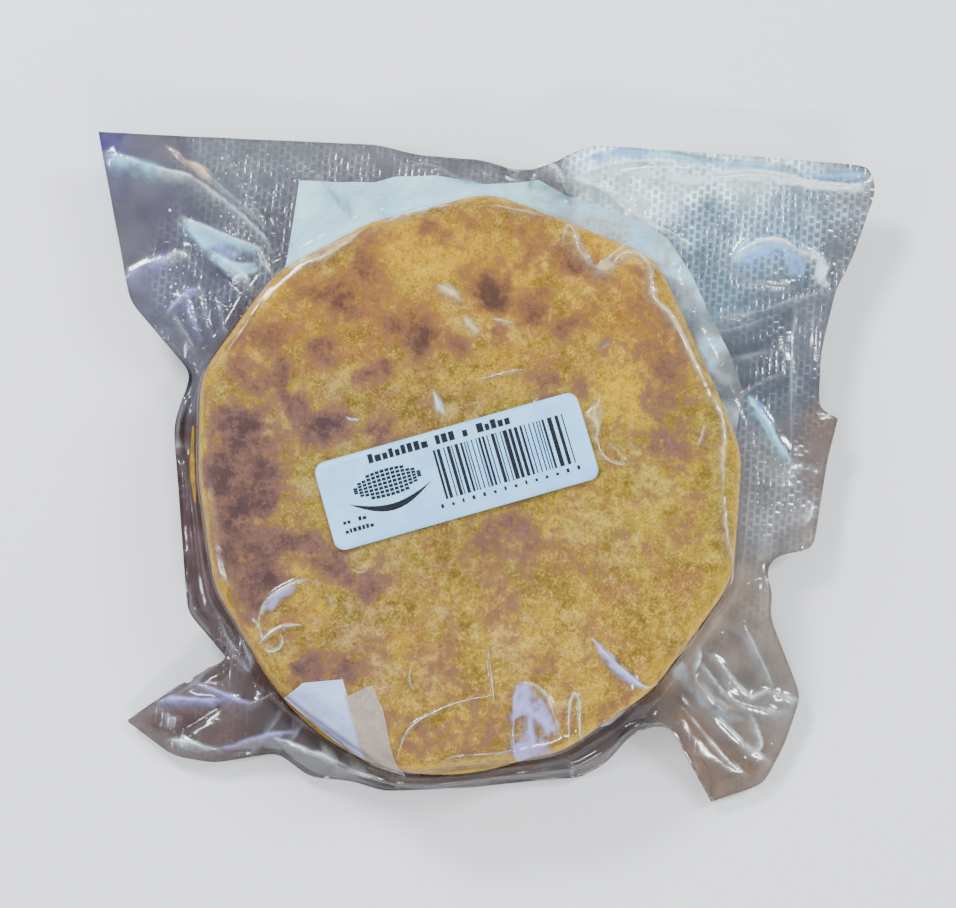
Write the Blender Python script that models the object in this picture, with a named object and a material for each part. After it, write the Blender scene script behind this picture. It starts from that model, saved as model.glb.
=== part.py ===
"""Vacuum bag with a stack of round corn cakes, and its paper label, as closed solids.

The bag is one loft. It runs in from the cut edge of the film, over the flat flange where the
two films lie together, up the wall of the stack and across its top, and back under it.
Metres, +Z up, the stack's underside on z = 0 and its middle at the origin.
"""
import math

import bmesh
import bpy
import numpy as np

MM = 0.001

# The stack of cakes: a lobed disc, and how far the lower cake sits to one side.
CAKE_CENTRE = (-0.3 * MM, 0.8 * MM)
CAKE_RADIUS = 79.4 * MM
CAKE_LOBES = ((2, 2.3 * MM, 94.0), (3, 0.5 * MM, 38.0), (4, 2.2 * MM, 71.0))  # count, depth, degrees
LOWER_CAKE_SHIFT = (-2.5 * MM, 0.0)
STACK_HEIGHT = 31.0 * MM
TOP_SHOULDER = 7.0 * MM
UNDER_SHOULDER = 8.0 * MM
FILM_STANDOFF = 0.8 * MM

# The flange: two films and the seal, drawn together at about half the stack's height.
FLANGE_HEIGHT = 12.5 * MM
FLANGE_THICKNESS = 1.0 * MM
FOOT_WIDTH = 7.0 * MM
FOOT_SHARE = 0.6
FOOT_RISE = 4.2 * MM
LEVEL_REACH = 9.0 * MM
EDGE_STEP = 8.0 * MM

# Soft pleats that run out from the stack: how many go round, how high, and their phase.
PLEATS = ((11, 0.9 * MM, 0.4), (19, 0.6 * MM, 2.1))

# Cut edge of the bag, clockwise from its upper left corner: x, y and height in millimetres.
CUT_EDGE = (
    (-109, 104, 17), (-69, 103, 14), (-27, 102, 11), (-15, 99, 10), (4, 97, 12), (14, 93, 14),
    (20, 93, 16), (35, 100, 17), (77, 98, 14), (117, 94, 16), (119, 87, 15), (112, 67, 12),
    (107, 58, 12), (102, 39, 13), (101, 23, 12), (107, 20, 10), (104, 9, 9), (99, -18, 9),
    (88, -20, 10), (85, -24, 10), (87, -31, 10), (86, -37, 9), (95, -60, 6), (90, -74, 5),
    (84, -85, 4), (69, -90, 4), (69, -82, 6), (62, -71, 7), (54, -68, 7), (46, -71, 6),
    (39, -79, 5), (32, -83, 4), (18, -84, 4), (0, -86, 3), (-25, -87, 3), (-34, -84, 3),
    (-46, -83, 4), (-55, -76, 5), (-73, -79, 5), (-85, -77, 5), (-99, -67, 3), (-83, -56, 6),
    (-70, -56, 8), (-68, -51, 9), (-81, -36, 10), (-86, 18, 11), (-81, 33, 12), (-99, 54, 14),
)

# Rings of the loft.
FLANGE_RINGS = (0.0, 0.25, 0.5, 0.75, 1.0)
FOOT_RINGS = ((0.5, 0.25), (0.15, 0.75))
SHOULDER_STEPS = 5
PLATEAU_RINGS = (0.66, 0.33)

# Paper label on the top of the bag.
LABEL_SIZE = (76.2 * MM, 25.4 * MM)
LABEL_CENTRE = (-3.6 * MM, 1.8 * MM)
LABEL_TURN = 16.0
LABEL_CORNER = 3.0 * MM
LABEL_THICKNESS = 0.3 * MM
CLEARANCE = 0.3 * MM

FILM_COLOUR = (0.62, 0.60, 0.62, 1.0)
PAPER_COLOUR = (0.86, 0.90, 0.94, 1.0)


def material(name, colour, roughness):
    finish = bpy.data.materials.new(name)
    finish.use_nodes = True
    shader = finish.node_tree.nodes["Principled BSDF"]
    shader.inputs["Base Color"].default_value = colour
    shader.inputs["Roughness"].default_value = roughness
    shader.inputs["Metallic"].default_value = 0.0
    return finish


def cake_rim(angles, shift=(0.0, 0.0)):
    """Points on a cake's rim at the given angles, and the directions out of it."""
    out = np.column_stack([np.cos(angles), np.sin(angles)])
    radius = np.full(len(angles), CAKE_RADIUS)
    for count, depth, turn in CAKE_LOBES:
        radius += depth * np.cos(count * (angles - math.radians(turn)))
    return np.add(CAKE_CENTRE, shift) + radius[:, None] * out, out


def cut_edge():
    """Stations round the cut edge: every corner of it, and even steps between the corners."""
    corners = np.array(CUT_EDGE, dtype=float) * MM
    stations = []
    for start, end in zip(corners, np.roll(corners, -1, axis=0)):
        count = max(1, round(np.linalg.norm(end - start) / EDGE_STEP))
        stations.extend(start + (end - start) * step / count for step in range(count))
    return np.array(stations[::-1])


def station_angles(edge):
    """The angle of each station round the stack, made to rise steadily past the loose flaps."""
    raw = np.unwrap(np.arctan2(edge[:, 1] - CAKE_CENTRE[1], edge[:, 0] - CAKE_CENTRE[0]))
    least = math.radians(0.8)
    forward = raw.copy()
    backward = raw.copy()
    for i in range(1, len(raw)):
        forward[i] = max(forward[i], forward[i - 1] + least)
        backward[-1 - i] = min(backward[-1 - i], backward[-i] - least)
    return (forward + backward) / 2


def pleat_height(angles):
    return sum(height * np.sin(count * angles + phase) for count, height, phase in PLEATS)


def ring(points, heights):
    return np.column_stack([points, np.broadcast_to(heights, len(points))])


def flange_rings(edge, foot, foot_height, angles, side):
    """Rings from the cut edge in to the foot of the stack, on the upper or the under side."""
    rings = []
    for share in FLANGE_RINGS:
        ease = share * share * (3 - 2 * share)
        height = edge[:, 2] + (foot_height - edge[:, 2]) * ease
        height = height + pleat_height(angles) * math.sin(math.pi * share) ** 2
        points = edge[:, :2] + (foot - edge[:, :2]) * share
        rings.append(ring(points, np.maximum(height, FLANGE_THICKNESS) + side * FLANGE_THICKNESS / 2))
    return rings


def upper_rings(rim, out, foot_width, foot_height):
    """Rings up the wall of the stack, over its shoulder and in across its top."""
    rings = []
    for width, rise in FOOT_RINGS:
        points = rim + out * (FILM_STANDOFF + foot_width * width)[:, None]
        rings.append(ring(points, foot_height + FLANGE_THICKNESS / 2 + FOOT_RISE * rise))
    for step in range(SHOULDER_STEPS + 1):
        turn = math.pi / 2 * step / SHOULDER_STEPS
        points = rim + out * (FILM_STANDOFF - TOP_SHOULDER * (1 - math.cos(turn)))
        rings.append(ring(points, STACK_HEIGHT - TOP_SHOULDER * (1 - math.sin(turn))))
    for share in PLATEAU_RINGS:
        rings.append(ring(np.array(CAKE_CENTRE) + (rim - CAKE_CENTRE) * share, STACK_HEIGHT))
    return rings


def under_rings(rim, out, foot_height):
    """Rings from the flange's underside down round the lower cake to its flat underside."""
    rings = []
    for step in range(SHOULDER_STEPS + 1):
        turn = math.pi / 2 * step / SHOULDER_STEPS
        points = rim + out * (FILM_STANDOFF - UNDER_SHOULDER * (1 - math.cos(turn)))
        rings.append(ring(points, (foot_height - FLANGE_THICKNESS / 2) * (1 - math.sin(turn))))
    return rings


def skin(mesh, rings, flip):
    """Quads between one ring and the next, each ring closed on itself."""
    for outer, inner in zip(rings, rings[1:]):
        for i in range(len(outer)):
            j = (i + 1) % len(outer)
            corners = [outer[i], outer[j], inner[j], inner[i]]
            mesh.faces.new(corners[::-1] if flip else corners)


def make_bag(collection):
    edge = cut_edge()
    angles = station_angles(edge)
    rim, out = cake_rim(angles)
    lower_rim, _ = cake_rim(angles, LOWER_CAKE_SHIFT)
    gap = np.linalg.norm(edge[:, :2] - rim, axis=1) - FILM_STANDOFF
    foot_width = np.minimum(FOOT_WIDTH, FOOT_SHARE * gap)
    foot = rim + out * (FILM_STANDOFF + foot_width)[:, None]
    pull = np.exp(-gap / LEVEL_REACH)
    foot_height = FLANGE_HEIGHT + (edge[:, 2] - FLANGE_HEIGHT) * pull

    mesh = bmesh.new()
    upper = flange_rings(edge, foot, foot_height, angles, 1)
    upper += upper_rings(rim, out, foot_width, foot_height)
    under = flange_rings(edge, foot, foot_height, angles, -1)
    under += under_rings(lower_rim, out, foot_height)
    upper = [[mesh.verts.new(point) for point in points] for points in upper]
    under = [[mesh.verts.new(point) for point in points] for points in under]
    skin(mesh, upper, flip=False)
    skin(mesh, under, flip=True)
    skin(mesh, [under[0], upper[0]], flip=False)
    top = mesh.verts.new((*CAKE_CENTRE, STACK_HEIGHT))
    inner = upper[-1]
    for i in range(len(inner)):
        mesh.faces.new((inner[i], inner[(i + 1) % len(inner)], top))
    mesh.faces.new(under[-1][::-1])

    data = bpy.data.meshes.new("bag")
    mesh.to_mesh(data)
    mesh.free()
    data.shade_smooth()
    bag = bpy.data.objects.new("bag", data)
    bag.data.materials.append(material("clear_film", FILM_COLOUR, 0.2))
    collection.objects.link(bag)
    return bag


def label_outline():
    """Corner points of a rectangle with rounded corners, anticlockwise."""
    points = []
    steps = 6
    half = [size / 2 - LABEL_CORNER for size in LABEL_SIZE]
    for quarter, (side_x, side_y) in enumerate(((1, 1), (-1, 1), (-1, -1), (1, -1))):
        for step in range(steps + 1):
            turn = math.pi / 2 * (quarter + step / steps)
            x = side_x * half[0] + LABEL_CORNER * math.cos(turn)
            y = side_y * half[1] + LABEL_CORNER * math.sin(turn)
            points.append((x, y))
    return points


def make_label(collection):
    """A flat outline given its thickness, laid just above the bag and turned in its plane."""
    curve = bpy.data.curves.new("label_outline", "CURVE")
    curve.dimensions = "2D"
    curve.fill_mode = "BOTH"
    curve.extrude = LABEL_THICKNESS / 2
    outline = label_outline()
    spline = curve.splines.new("POLY")
    spline.points.add(len(outline) - 1)
    for point, (x, y) in zip(spline.points, outline):
        point.co = (x, y, 0.0, 1.0)
    spline.use_cyclic_u = True
    guide = bpy.data.objects.new("label_outline", curve)
    collection.objects.link(guide)
    bpy.context.view_layer.update()

    depsgraph = bpy.context.evaluated_depsgraph_get()
    data = bpy.data.meshes.new_from_object(guide.evaluated_get(depsgraph))
    bpy.data.objects.remove(guide)
    data.name = "label"
    mesh = bmesh.new()
    mesh.from_mesh(data)
    bmesh.ops.remove_doubles(mesh, verts=mesh.verts, dist=0.01 * MM)
    mesh.to_mesh(data)
    mesh.free()
    label = bpy.data.objects.new("label", data)
    height = STACK_HEIGHT + CLEARANCE + LABEL_THICKNESS / 2
    label.location = (*LABEL_CENTRE, height)
    label.rotation_euler = (0.0, 0.0, math.radians(LABEL_TURN))
    label.data.materials.append(material("label_paper", PAPER_COLOUR, 0.5))
    collection.objects.link(label)
    return label


def main():
    for thing in list(bpy.data.objects):
        bpy.data.objects.remove(thing)
    collection = bpy.data.collections.new("corn_cake_pack")
    bpy.context.scene.collection.children.link(collection)
    make_bag(collection)
    make_label(collection)


main()
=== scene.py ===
import math

import bmesh
import bpy
import numpy as np
from mathutils import Matrix, Vector
from mathutils.bvhtree import BVHTree
from mathutils.geometry import delaunay_2d_cdt


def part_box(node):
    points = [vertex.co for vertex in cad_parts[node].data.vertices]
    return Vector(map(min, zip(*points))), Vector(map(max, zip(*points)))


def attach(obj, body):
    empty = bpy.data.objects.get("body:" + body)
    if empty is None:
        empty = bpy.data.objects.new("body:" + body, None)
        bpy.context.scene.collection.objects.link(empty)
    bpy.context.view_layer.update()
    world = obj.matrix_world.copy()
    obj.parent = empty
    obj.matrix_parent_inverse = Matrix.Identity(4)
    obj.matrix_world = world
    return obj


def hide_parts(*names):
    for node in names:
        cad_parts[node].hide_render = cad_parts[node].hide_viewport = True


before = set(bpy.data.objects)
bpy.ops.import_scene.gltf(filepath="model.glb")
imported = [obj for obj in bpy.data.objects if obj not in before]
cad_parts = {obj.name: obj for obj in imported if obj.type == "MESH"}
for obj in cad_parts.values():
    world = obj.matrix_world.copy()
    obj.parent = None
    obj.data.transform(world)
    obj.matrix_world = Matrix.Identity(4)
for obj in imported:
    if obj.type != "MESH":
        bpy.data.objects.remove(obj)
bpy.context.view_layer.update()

MM = 0.001

# ---------------------------------------------------------------- sizes, as in the CAD model
BAG_LOW, BAG_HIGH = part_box("bag")
LABEL_LOW, LABEL_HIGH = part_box("label")
STACK_HEIGHT = BAG_HIGH.z
CAKE_CENTRE = (-0.3 * MM, 0.8 * MM)
CAKE_RADIUS = 79.4 * MM
CAKE_LOBES = ((2, 2.3 * MM, 94.0), (3, 0.5 * MM, 38.0), (4, 2.2 * MM, 71.0))  # count, depth, degrees
LOWER_CAKE_SHIFT = (-2.5 * MM, 0.0)
TOP_SHOULDER = 7.0 * MM
UNDER_SHOULDER = 8.0 * MM
FILM_STANDOFF = 0.8 * MM
FLANGE_HEIGHT = 12.5 * MM
FOOT_WIDTH = 7.0 * MM
FOOT_SHARE = 0.6
LEVEL_REACH = 9.0 * MM
PLEATS = ((11, 0.9 * MM, 0.4), (19, 0.6 * MM, 2.1))
CUT_EDGE = (
    (-109, 104, 17), (-69, 103, 14), (-27, 102, 11), (-15, 99, 10), (4, 97, 12), (14, 93, 14),
    (20, 93, 16), (35, 100, 17), (77, 98, 14), (117, 94, 16), (119, 87, 15), (112, 67, 12),
    (107, 58, 12), (102, 39, 13), (101, 23, 12), (107, 20, 10), (104, 9, 9), (99, -18, 9),
    (88, -20, 10), (85, -24, 10), (87, -31, 10), (86, -37, 9), (95, -60, 6), (90, -74, 5),
    (84, -85, 4), (69, -90, 4), (69, -82, 6), (62, -71, 7), (54, -68, 7), (46, -71, 6),
    (39, -79, 5), (32, -83, 4), (18, -84, 4), (0, -86, 3), (-25, -87, 3), (-34, -84, 3),
    (-46, -83, 4), (-55, -76, 5), (-73, -79, 5), (-85, -77, 5), (-99, -67, 3), (-83, -56, 6),
    (-70, -56, 8), (-68, -51, 9), (-81, -36, 10), (-86, 18, 11), (-81, 33, 12), (-99, 54, 14),
)
SHARP_CORNERS = ((-109, 104), (-99, -67), (69, -90), (107, 20))
LABEL_SIZE = (76.2 * MM, 25.4 * MM)
LABEL_CENTRE = (LABEL_LOW + LABEL_HIGH) / 2
LABEL_TURN = math.radians(16.0)
LABEL_CORNER = 3.0 * MM

# ---------------------------------------------------------------- sizes of the looks
FILM_GAP = 0.5 * MM
UPPER_FLANGE_ROWS = 88
FOOT_ROWS = 18
FILM_STATIONS = 840
EDGE_ROUNDING = 2.2 * MM
FRONT_HAZE = 0.10
BACK_HAZE = 0.92
CAKE_TOP = STACK_HEIGHT - 0.45 * MM
CAKE_MEET = 15.4 * MM
PARCHMENT_THICKNESS = 0.1 * MM

# Colours painted on the film: greys of its haze, painted highlights and reflections (bright, silver, frost, ice, sky,
# cream, straw, orchid), and the violets and browns of the surroundings as painted reflection and shade.
FILM_TONES = {
    "violet": (0.045, 0.025, 0.190),
    "dusk": (0.062, 0.052, 0.095),
    "lilac": (0.088, 0.088, 0.140),
    "smoke": (0.110, 0.110, 0.136),
    "slate": (0.070, 0.088, 0.122),
    "steel": (0.130, 0.145, 0.175),
    "silver": (0.160, 0.270, 0.360),
    "bright": (0.760, 0.960, 1.000),
    "soot": (0.045, 0.030, 0.036),
    "umber": (0.064, 0.036, 0.036),
    "mink": (0.112, 0.062, 0.054),
    "rust": (0.140, 0.078, 0.058),
    "sand": (0.360, 0.270, 0.205),
    "warm": (0.225, 0.140, 0.092),
    "clay": (0.265, 0.215, 0.180),
    "ash": (0.300, 0.310, 0.335),
    "pewter": (0.33, 0.37, 0.42),
    "frost": (0.82, 0.96, 1.0),
    "ice": (0.38, 0.74, 0.95),
    "sky": (0.18, 0.42, 0.88),
    "cream": (0.86, 0.70, 0.38),
    "straw": (0.80, 0.60, 0.38),
    "orchid": (0.42, 0.42, 0.85),
}

# Creases of the flange: tone, rise and width (mm), whiteness (stress-whitened film with a painted highlight, or painted
# shade where the tone is dark), ridge thickness (mm) and the run (mm).
FLANGE_CREASES = (
    ("ice", 1.8, 2.4, 0.75, 0.0, ((-107, 97), (-101, 95.5), (-95, 94), (-90, 92.5))),
    ("frost", 1.2, 1.2, 0.8, 0.5, ((-92, 93), (-87, 92), (-82, 91))),
    ("frost", 1.2, 1.3, 0.35, 0.3, ((-82, 91), (-76, 87), (-70, 82.5), (-65, 78), (-61, 74), (-58, 69))),
    ("straw", 1.3, 1.0, 0.45, 0.3, ((-88, 99.5), (-84, 96), (-81.5, 94))),
    ("straw", 0.8, 1.2, 0.8, 0.0, ((-82, 95), (-79, 93.5), (-76, 90))),
    ("smoke", -1.2, 1.4, 0.5, 0.0, ((-82, 93), (-76, 88), (-69, 82), (-62, 76), (-58, 70))),
    ("pewter", 1.1, 1.2, 0.5, 0.25, ((-78, 92), (-71, 86), (-65, 81), (-60, 76))),
    ("pewter", 0.9, 1.2, 0.3, 0.0, ((-72, 101), (-70, 94), (-66, 86), (-60, 77))),
    ("frost", 1.4, 1.1, 0.55, 0.35, ((-84, 78.5), (-79, 76.6), (-74, 74.5), (-69, 72.5), (-62, 70))),
    ("ice", 0.7, 1.6, 0.85, 0.0, ((-83, 77), (-78, 75), (-72, 72.5), (-65, 70))),
    ("ice", 0.5, 1.5, 0.8, 0.0, ((-82, 75.5), (-79, 72), (-76, 70.5))),
    ("sky", -0.8, 1.6, 0.45, 0.0, ((-77, 72.5), (-73, 70.5), (-68, 68))),
    ("ice", 0.8, 1.5, 0.75, 0.0, ((-76, 69), (-72, 66.5), (-68, 65), (-63, 65))),
    ("frost", 0.8, 1.3, 0.7, 0.3, ((-73, 66.5), (-69, 64.5), (-66, 62), (-65, 60))),
    ("lilac", -1.4, 2.2, 0.3, 0.0, ((-84, 75), (-80, 69), (-74, 63), (-68, 58))),
    ("orchid", 1.3, 2.6, 0.55, 0.0, ((-101, 60.5), (-96, 63.5), (-90, 66), (-87, 67.5))),
    ("frost", 0.6, 1.4, 0.65, 0.0, ((-89, 66), (-86, 68.5), (-83, 68))),
    ("orchid", 1.1, 1.4, 0.5, 0.3, ((-88, 51), (-85, 54), (-82, 57), (-79, 58))),
    ("orchid", 0.9, 1.2, 0.3, 0.25, ((-83, 56), (-80.5, 49), (-78, 43))),
    ("pewter", 0.9, 1.2, 0.3, 0.25, ((-79, 60), (-77, 51), (-75, 44))),
    ("pewter", 0.8, 1.2, 0.3, 0.2, ((-87, 51), (-83, 45), (-80, 40))),
    ("pewter", 0.8, 1.2, 0.25, 0.2, ((-73, 55), (-72, 49), (-71, 44))),
    ("smoke", 0.9, 1.4, 0.3, 0.0, ((-58, 80), (-56.5, 74), (-55, 66))),
    ("frost", 0.7, 0.9, 0.5, 0.2, ((-62, 70), (-60, 66), (-58, 62))),
    ("pewter", 0.8, 1.0, 0.3, 0.2, ((-20, 95), (-12, 95.5), (-3, 91), (6, 89.5))),
    ("frost", 1.2, 1.2, 0.5, 0.3, ((13, 92), (18, 94.5), (23, 94.5), (26, 92), (28, 87))),
    ("smoke", -1.0, 1.4, 0.3, 0.0, ((22, 96), (26, 95), (27, 88), (31, 81))),
    ("frost", 1.5, 1.2, 0.9, 0.6, ((30, 90), (35, 92.5), (42, 94.5), (49, 95.5), (56, 95.5), (63, 94.6))),
    ("frost", 1.5, 1.2, 0.85, 0.5, ((62, 94.7), (68, 94), (73, 92.3), (82, 92.6), (90, 91.8), (97, 90))),
    ("frost", 1.3, 1.1, 0.75, 0.4, ((96, 90.2), (102, 88.6), (108, 88), (113, 88), (118, 89.5))),
    ("sky", 0.9, 1.8, 0.7, 0.0, ((34, 96), (42, 98), (52, 98.4))),
    ("ice", 0.7, 1.8, 0.7, 0.0, ((52, 97.5), (62, 96.8), (70, 95.2), (80, 94.8), (92, 93.5))),
    ("sky", 0.6, 1.5, 0.6, 0.0, ((98, 91.5), (106, 90.5), (115, 91.5))),
    ("frost", 1.1, 1.0, 0.7, 0.45, ((30, 90.5), (36, 88.6), (40, 87), (43.5, 83.5), (46.5, 80.8))),
    ("frost", 0.9, 1.5, 0.85, 0.3, ((44, 86), (46, 83.5), (48, 84.5), (47.5, 81), (50, 79.5))),
    ("frost", 1.0, 1.0, 0.6, 0.35, ((50, 79.5), (53, 77), (57, 75.4), (61, 73.4), (65, 71))),
    ("pewter", 0.8, 0.9, 0.4, 0.25, ((60, 75), (63, 77.5), (67, 80.5))),
    ("frost", 1.4, 1.2, 0.7, 0.5, ((77, 66), (80, 69), (83, 71), (87, 72), (91, 71.6), (94.5, 69.2))),
    ("frost", 1.2, 1.1, 0.6, 0.4, ((94, 69.3), (98, 68), (102, 67), (104.5, 64.5), (103, 62), (104, 60))),
    ("ice", 0.6, 1.3, 0.8, 0.0, ((77, 66.5), (79, 70), (82, 73))),
    ("sky", 0.9, 1.9, 0.85, 0.0, ((79, 66.5), (83, 68), (87, 70), (91, 70))),
    ("sky", 0.5, 1.6, 0.6, 0.0, ((92, 68), (96, 66), (97, 61))),
    ("frost", 0.8, 1.5, 0.8, 0.0, ((102, 66), (103.5, 63), (102, 60.5))),
    ("pewter", -1.2, 1.2, 0.5, 0.3, ((74, 66), (78, 62), (83, 60), (88, 58.8), (96, 59))),
    ("pewter", 0.9, 1.5, 0.4, 0.25, ((68, 49), (76, 49.5), (84, 51), (92, 54), (100, 56), (107, 58))),
    ("pewter", 0.7, 1.2, 0.3, 0.2, ((69, 45), (78, 46), (88, 50))),
    ("steel", -0.9, 1.2, 0.5, 0.0, ((92, 50), (91.5, 44), (91, 37))),
    ("pewter", 0.8, 1.0, 0.3, 0.2, ((77, 25), (84, 30), (92, 33))),
    ("ice", 1.5, 1.4, 0.8, 0.4, ((81.5, 25), (83, 21.5), (86, 17.5), (89, 12), (92, 7.5))),
    ("sky", 0.6, 1.4, 0.5, 0.0, ((83, 25), (85, 21), (88, 16.5))),
    ("pewter", -0.9, 1.0, 0.3, 0.2, ((82, 18), (82.5, 10), (83, 3))),
    ("frost", 0.6, 0.8, 0.6, 0.3, ((98.5, -5.5), (98.5, -8), (97, -10))),
    ("smoke", 0.5, 0.8, 0.3, 0.25, ((103, 60), (103, 68), (103, 76), (103.5, 90))),
    ("pewter", 0.5, 0.8, 0.5, 0.25, ((96.5, 60), (96.5, 68), (97, 76), (97.5, 89))),
    ("pewter", 0.5, 0.8, 0.45, 0.25, ((93, 10), (93, 25), (94, 40), (95.5, 56))),
    ("smoke", 0.5, 0.8, 0.3, 0.2, ((99, 20), (99.5, 35), (101, 52))),
    ("frost", 0.9, 1.0, 0.45, 0.35, ((78, -40), (82, -48), (86.5, -57))),
    ("frost", 1.4, 1.1, 0.6, 0.45, ((69, -48.5), (72.5, -52.5), (76, -56.5), (80, -60), (84, -58.6), (88, -59))),
    ("frost", 1.0, 1.0, 0.55, 0.35, ((87, -59), (91, -60.4), (94, -61.5))),
    ("frost", -1.1, 1.0, 0.5, 0.35, ((66, -51), (70, -56), (75, -61), (83, -63.6), (91, -64.5))),
    ("straw", 1.1, 1.1, 0.35, 0.3, ((63, -52), (65, -57), (70, -61), (76, -64))),
    ("frost", 0.5, 0.8, 0.7, 0.35, ((65.5, -47.5), (65, -50.5), (64, -53))),
    ("warm", 0.8, 1.3, 0.6, 0.3, ((58, -58), (62, -64), (66, -69), (71, -74), (76, -77.5), (81, -82))),
    ("frost", 0.9, 1.0, 0.45, 0.3, ((60, -63), (66, -70), (73, -77.5), (79, -82))),
    ("frost", 0.9, 1.0, 0.5, 0.3, ((69, -64.5), (74, -69), (79.5, -74), (86, -78.5))),
    ("frost", 0.7, 1.0, 0.5, 0.25, ((80, -65), (82, -69), (83.5, -74), (81, -76))),
    ("orchid", 1.2, 1.4, 0.7, 0.3, ((-89, -61), (-83, -60.5), (-77, -61), (-70, -61))),
    ("orchid", 0.8, 1.2, 0.5, 0.25, ((-78, -56.5), (-73, -58), (-68, -60), (-62, -62))),
    ("umber", -1.0, 1.2, 0.3, 0.2, ((-84, -71), (-76, -65.5), (-70, -62))),
    ("frost", 1.3, 1.2, 0.6, 0.35, ((-85, -72.5), (-80, -72.8), (-76, -74.2), (-72, -75))),
    ("orchid", 0.8, 1.0, 0.5, 0.3, ((-72, -75), (-65, -73), (-57, -70.5), (-50, -70))),
    ("frost", 1.2, 1.0, 0.65, 0.4, ((-55, -71.5), (-47, -74.5), (-40, -77), (-33, -80.5), (-26, -83))),
    ("umber", -1.1, 1.4, 0.3, 0.0, ((-70, -42), (-66, -48), (-62.5, -54), (-61, -60))),
    ("pewter", 0.8, 1.0, 0.4, 0.2, ((-72, -37), (-69, -43), (-67, -48), (-63, -53), (-62, -50), (-65, -43))),
    ("pewter", 0.9, 1.0, 0.35, 0.25, ((-67, -60), (-62, -62), (-55, -59))),
    ("umber", 0.8, 1.0, 0.4, 0.25, ((-50, -63), (-40, -70.5), (-30, -77.5), (-18, -83.5))),
)
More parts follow.
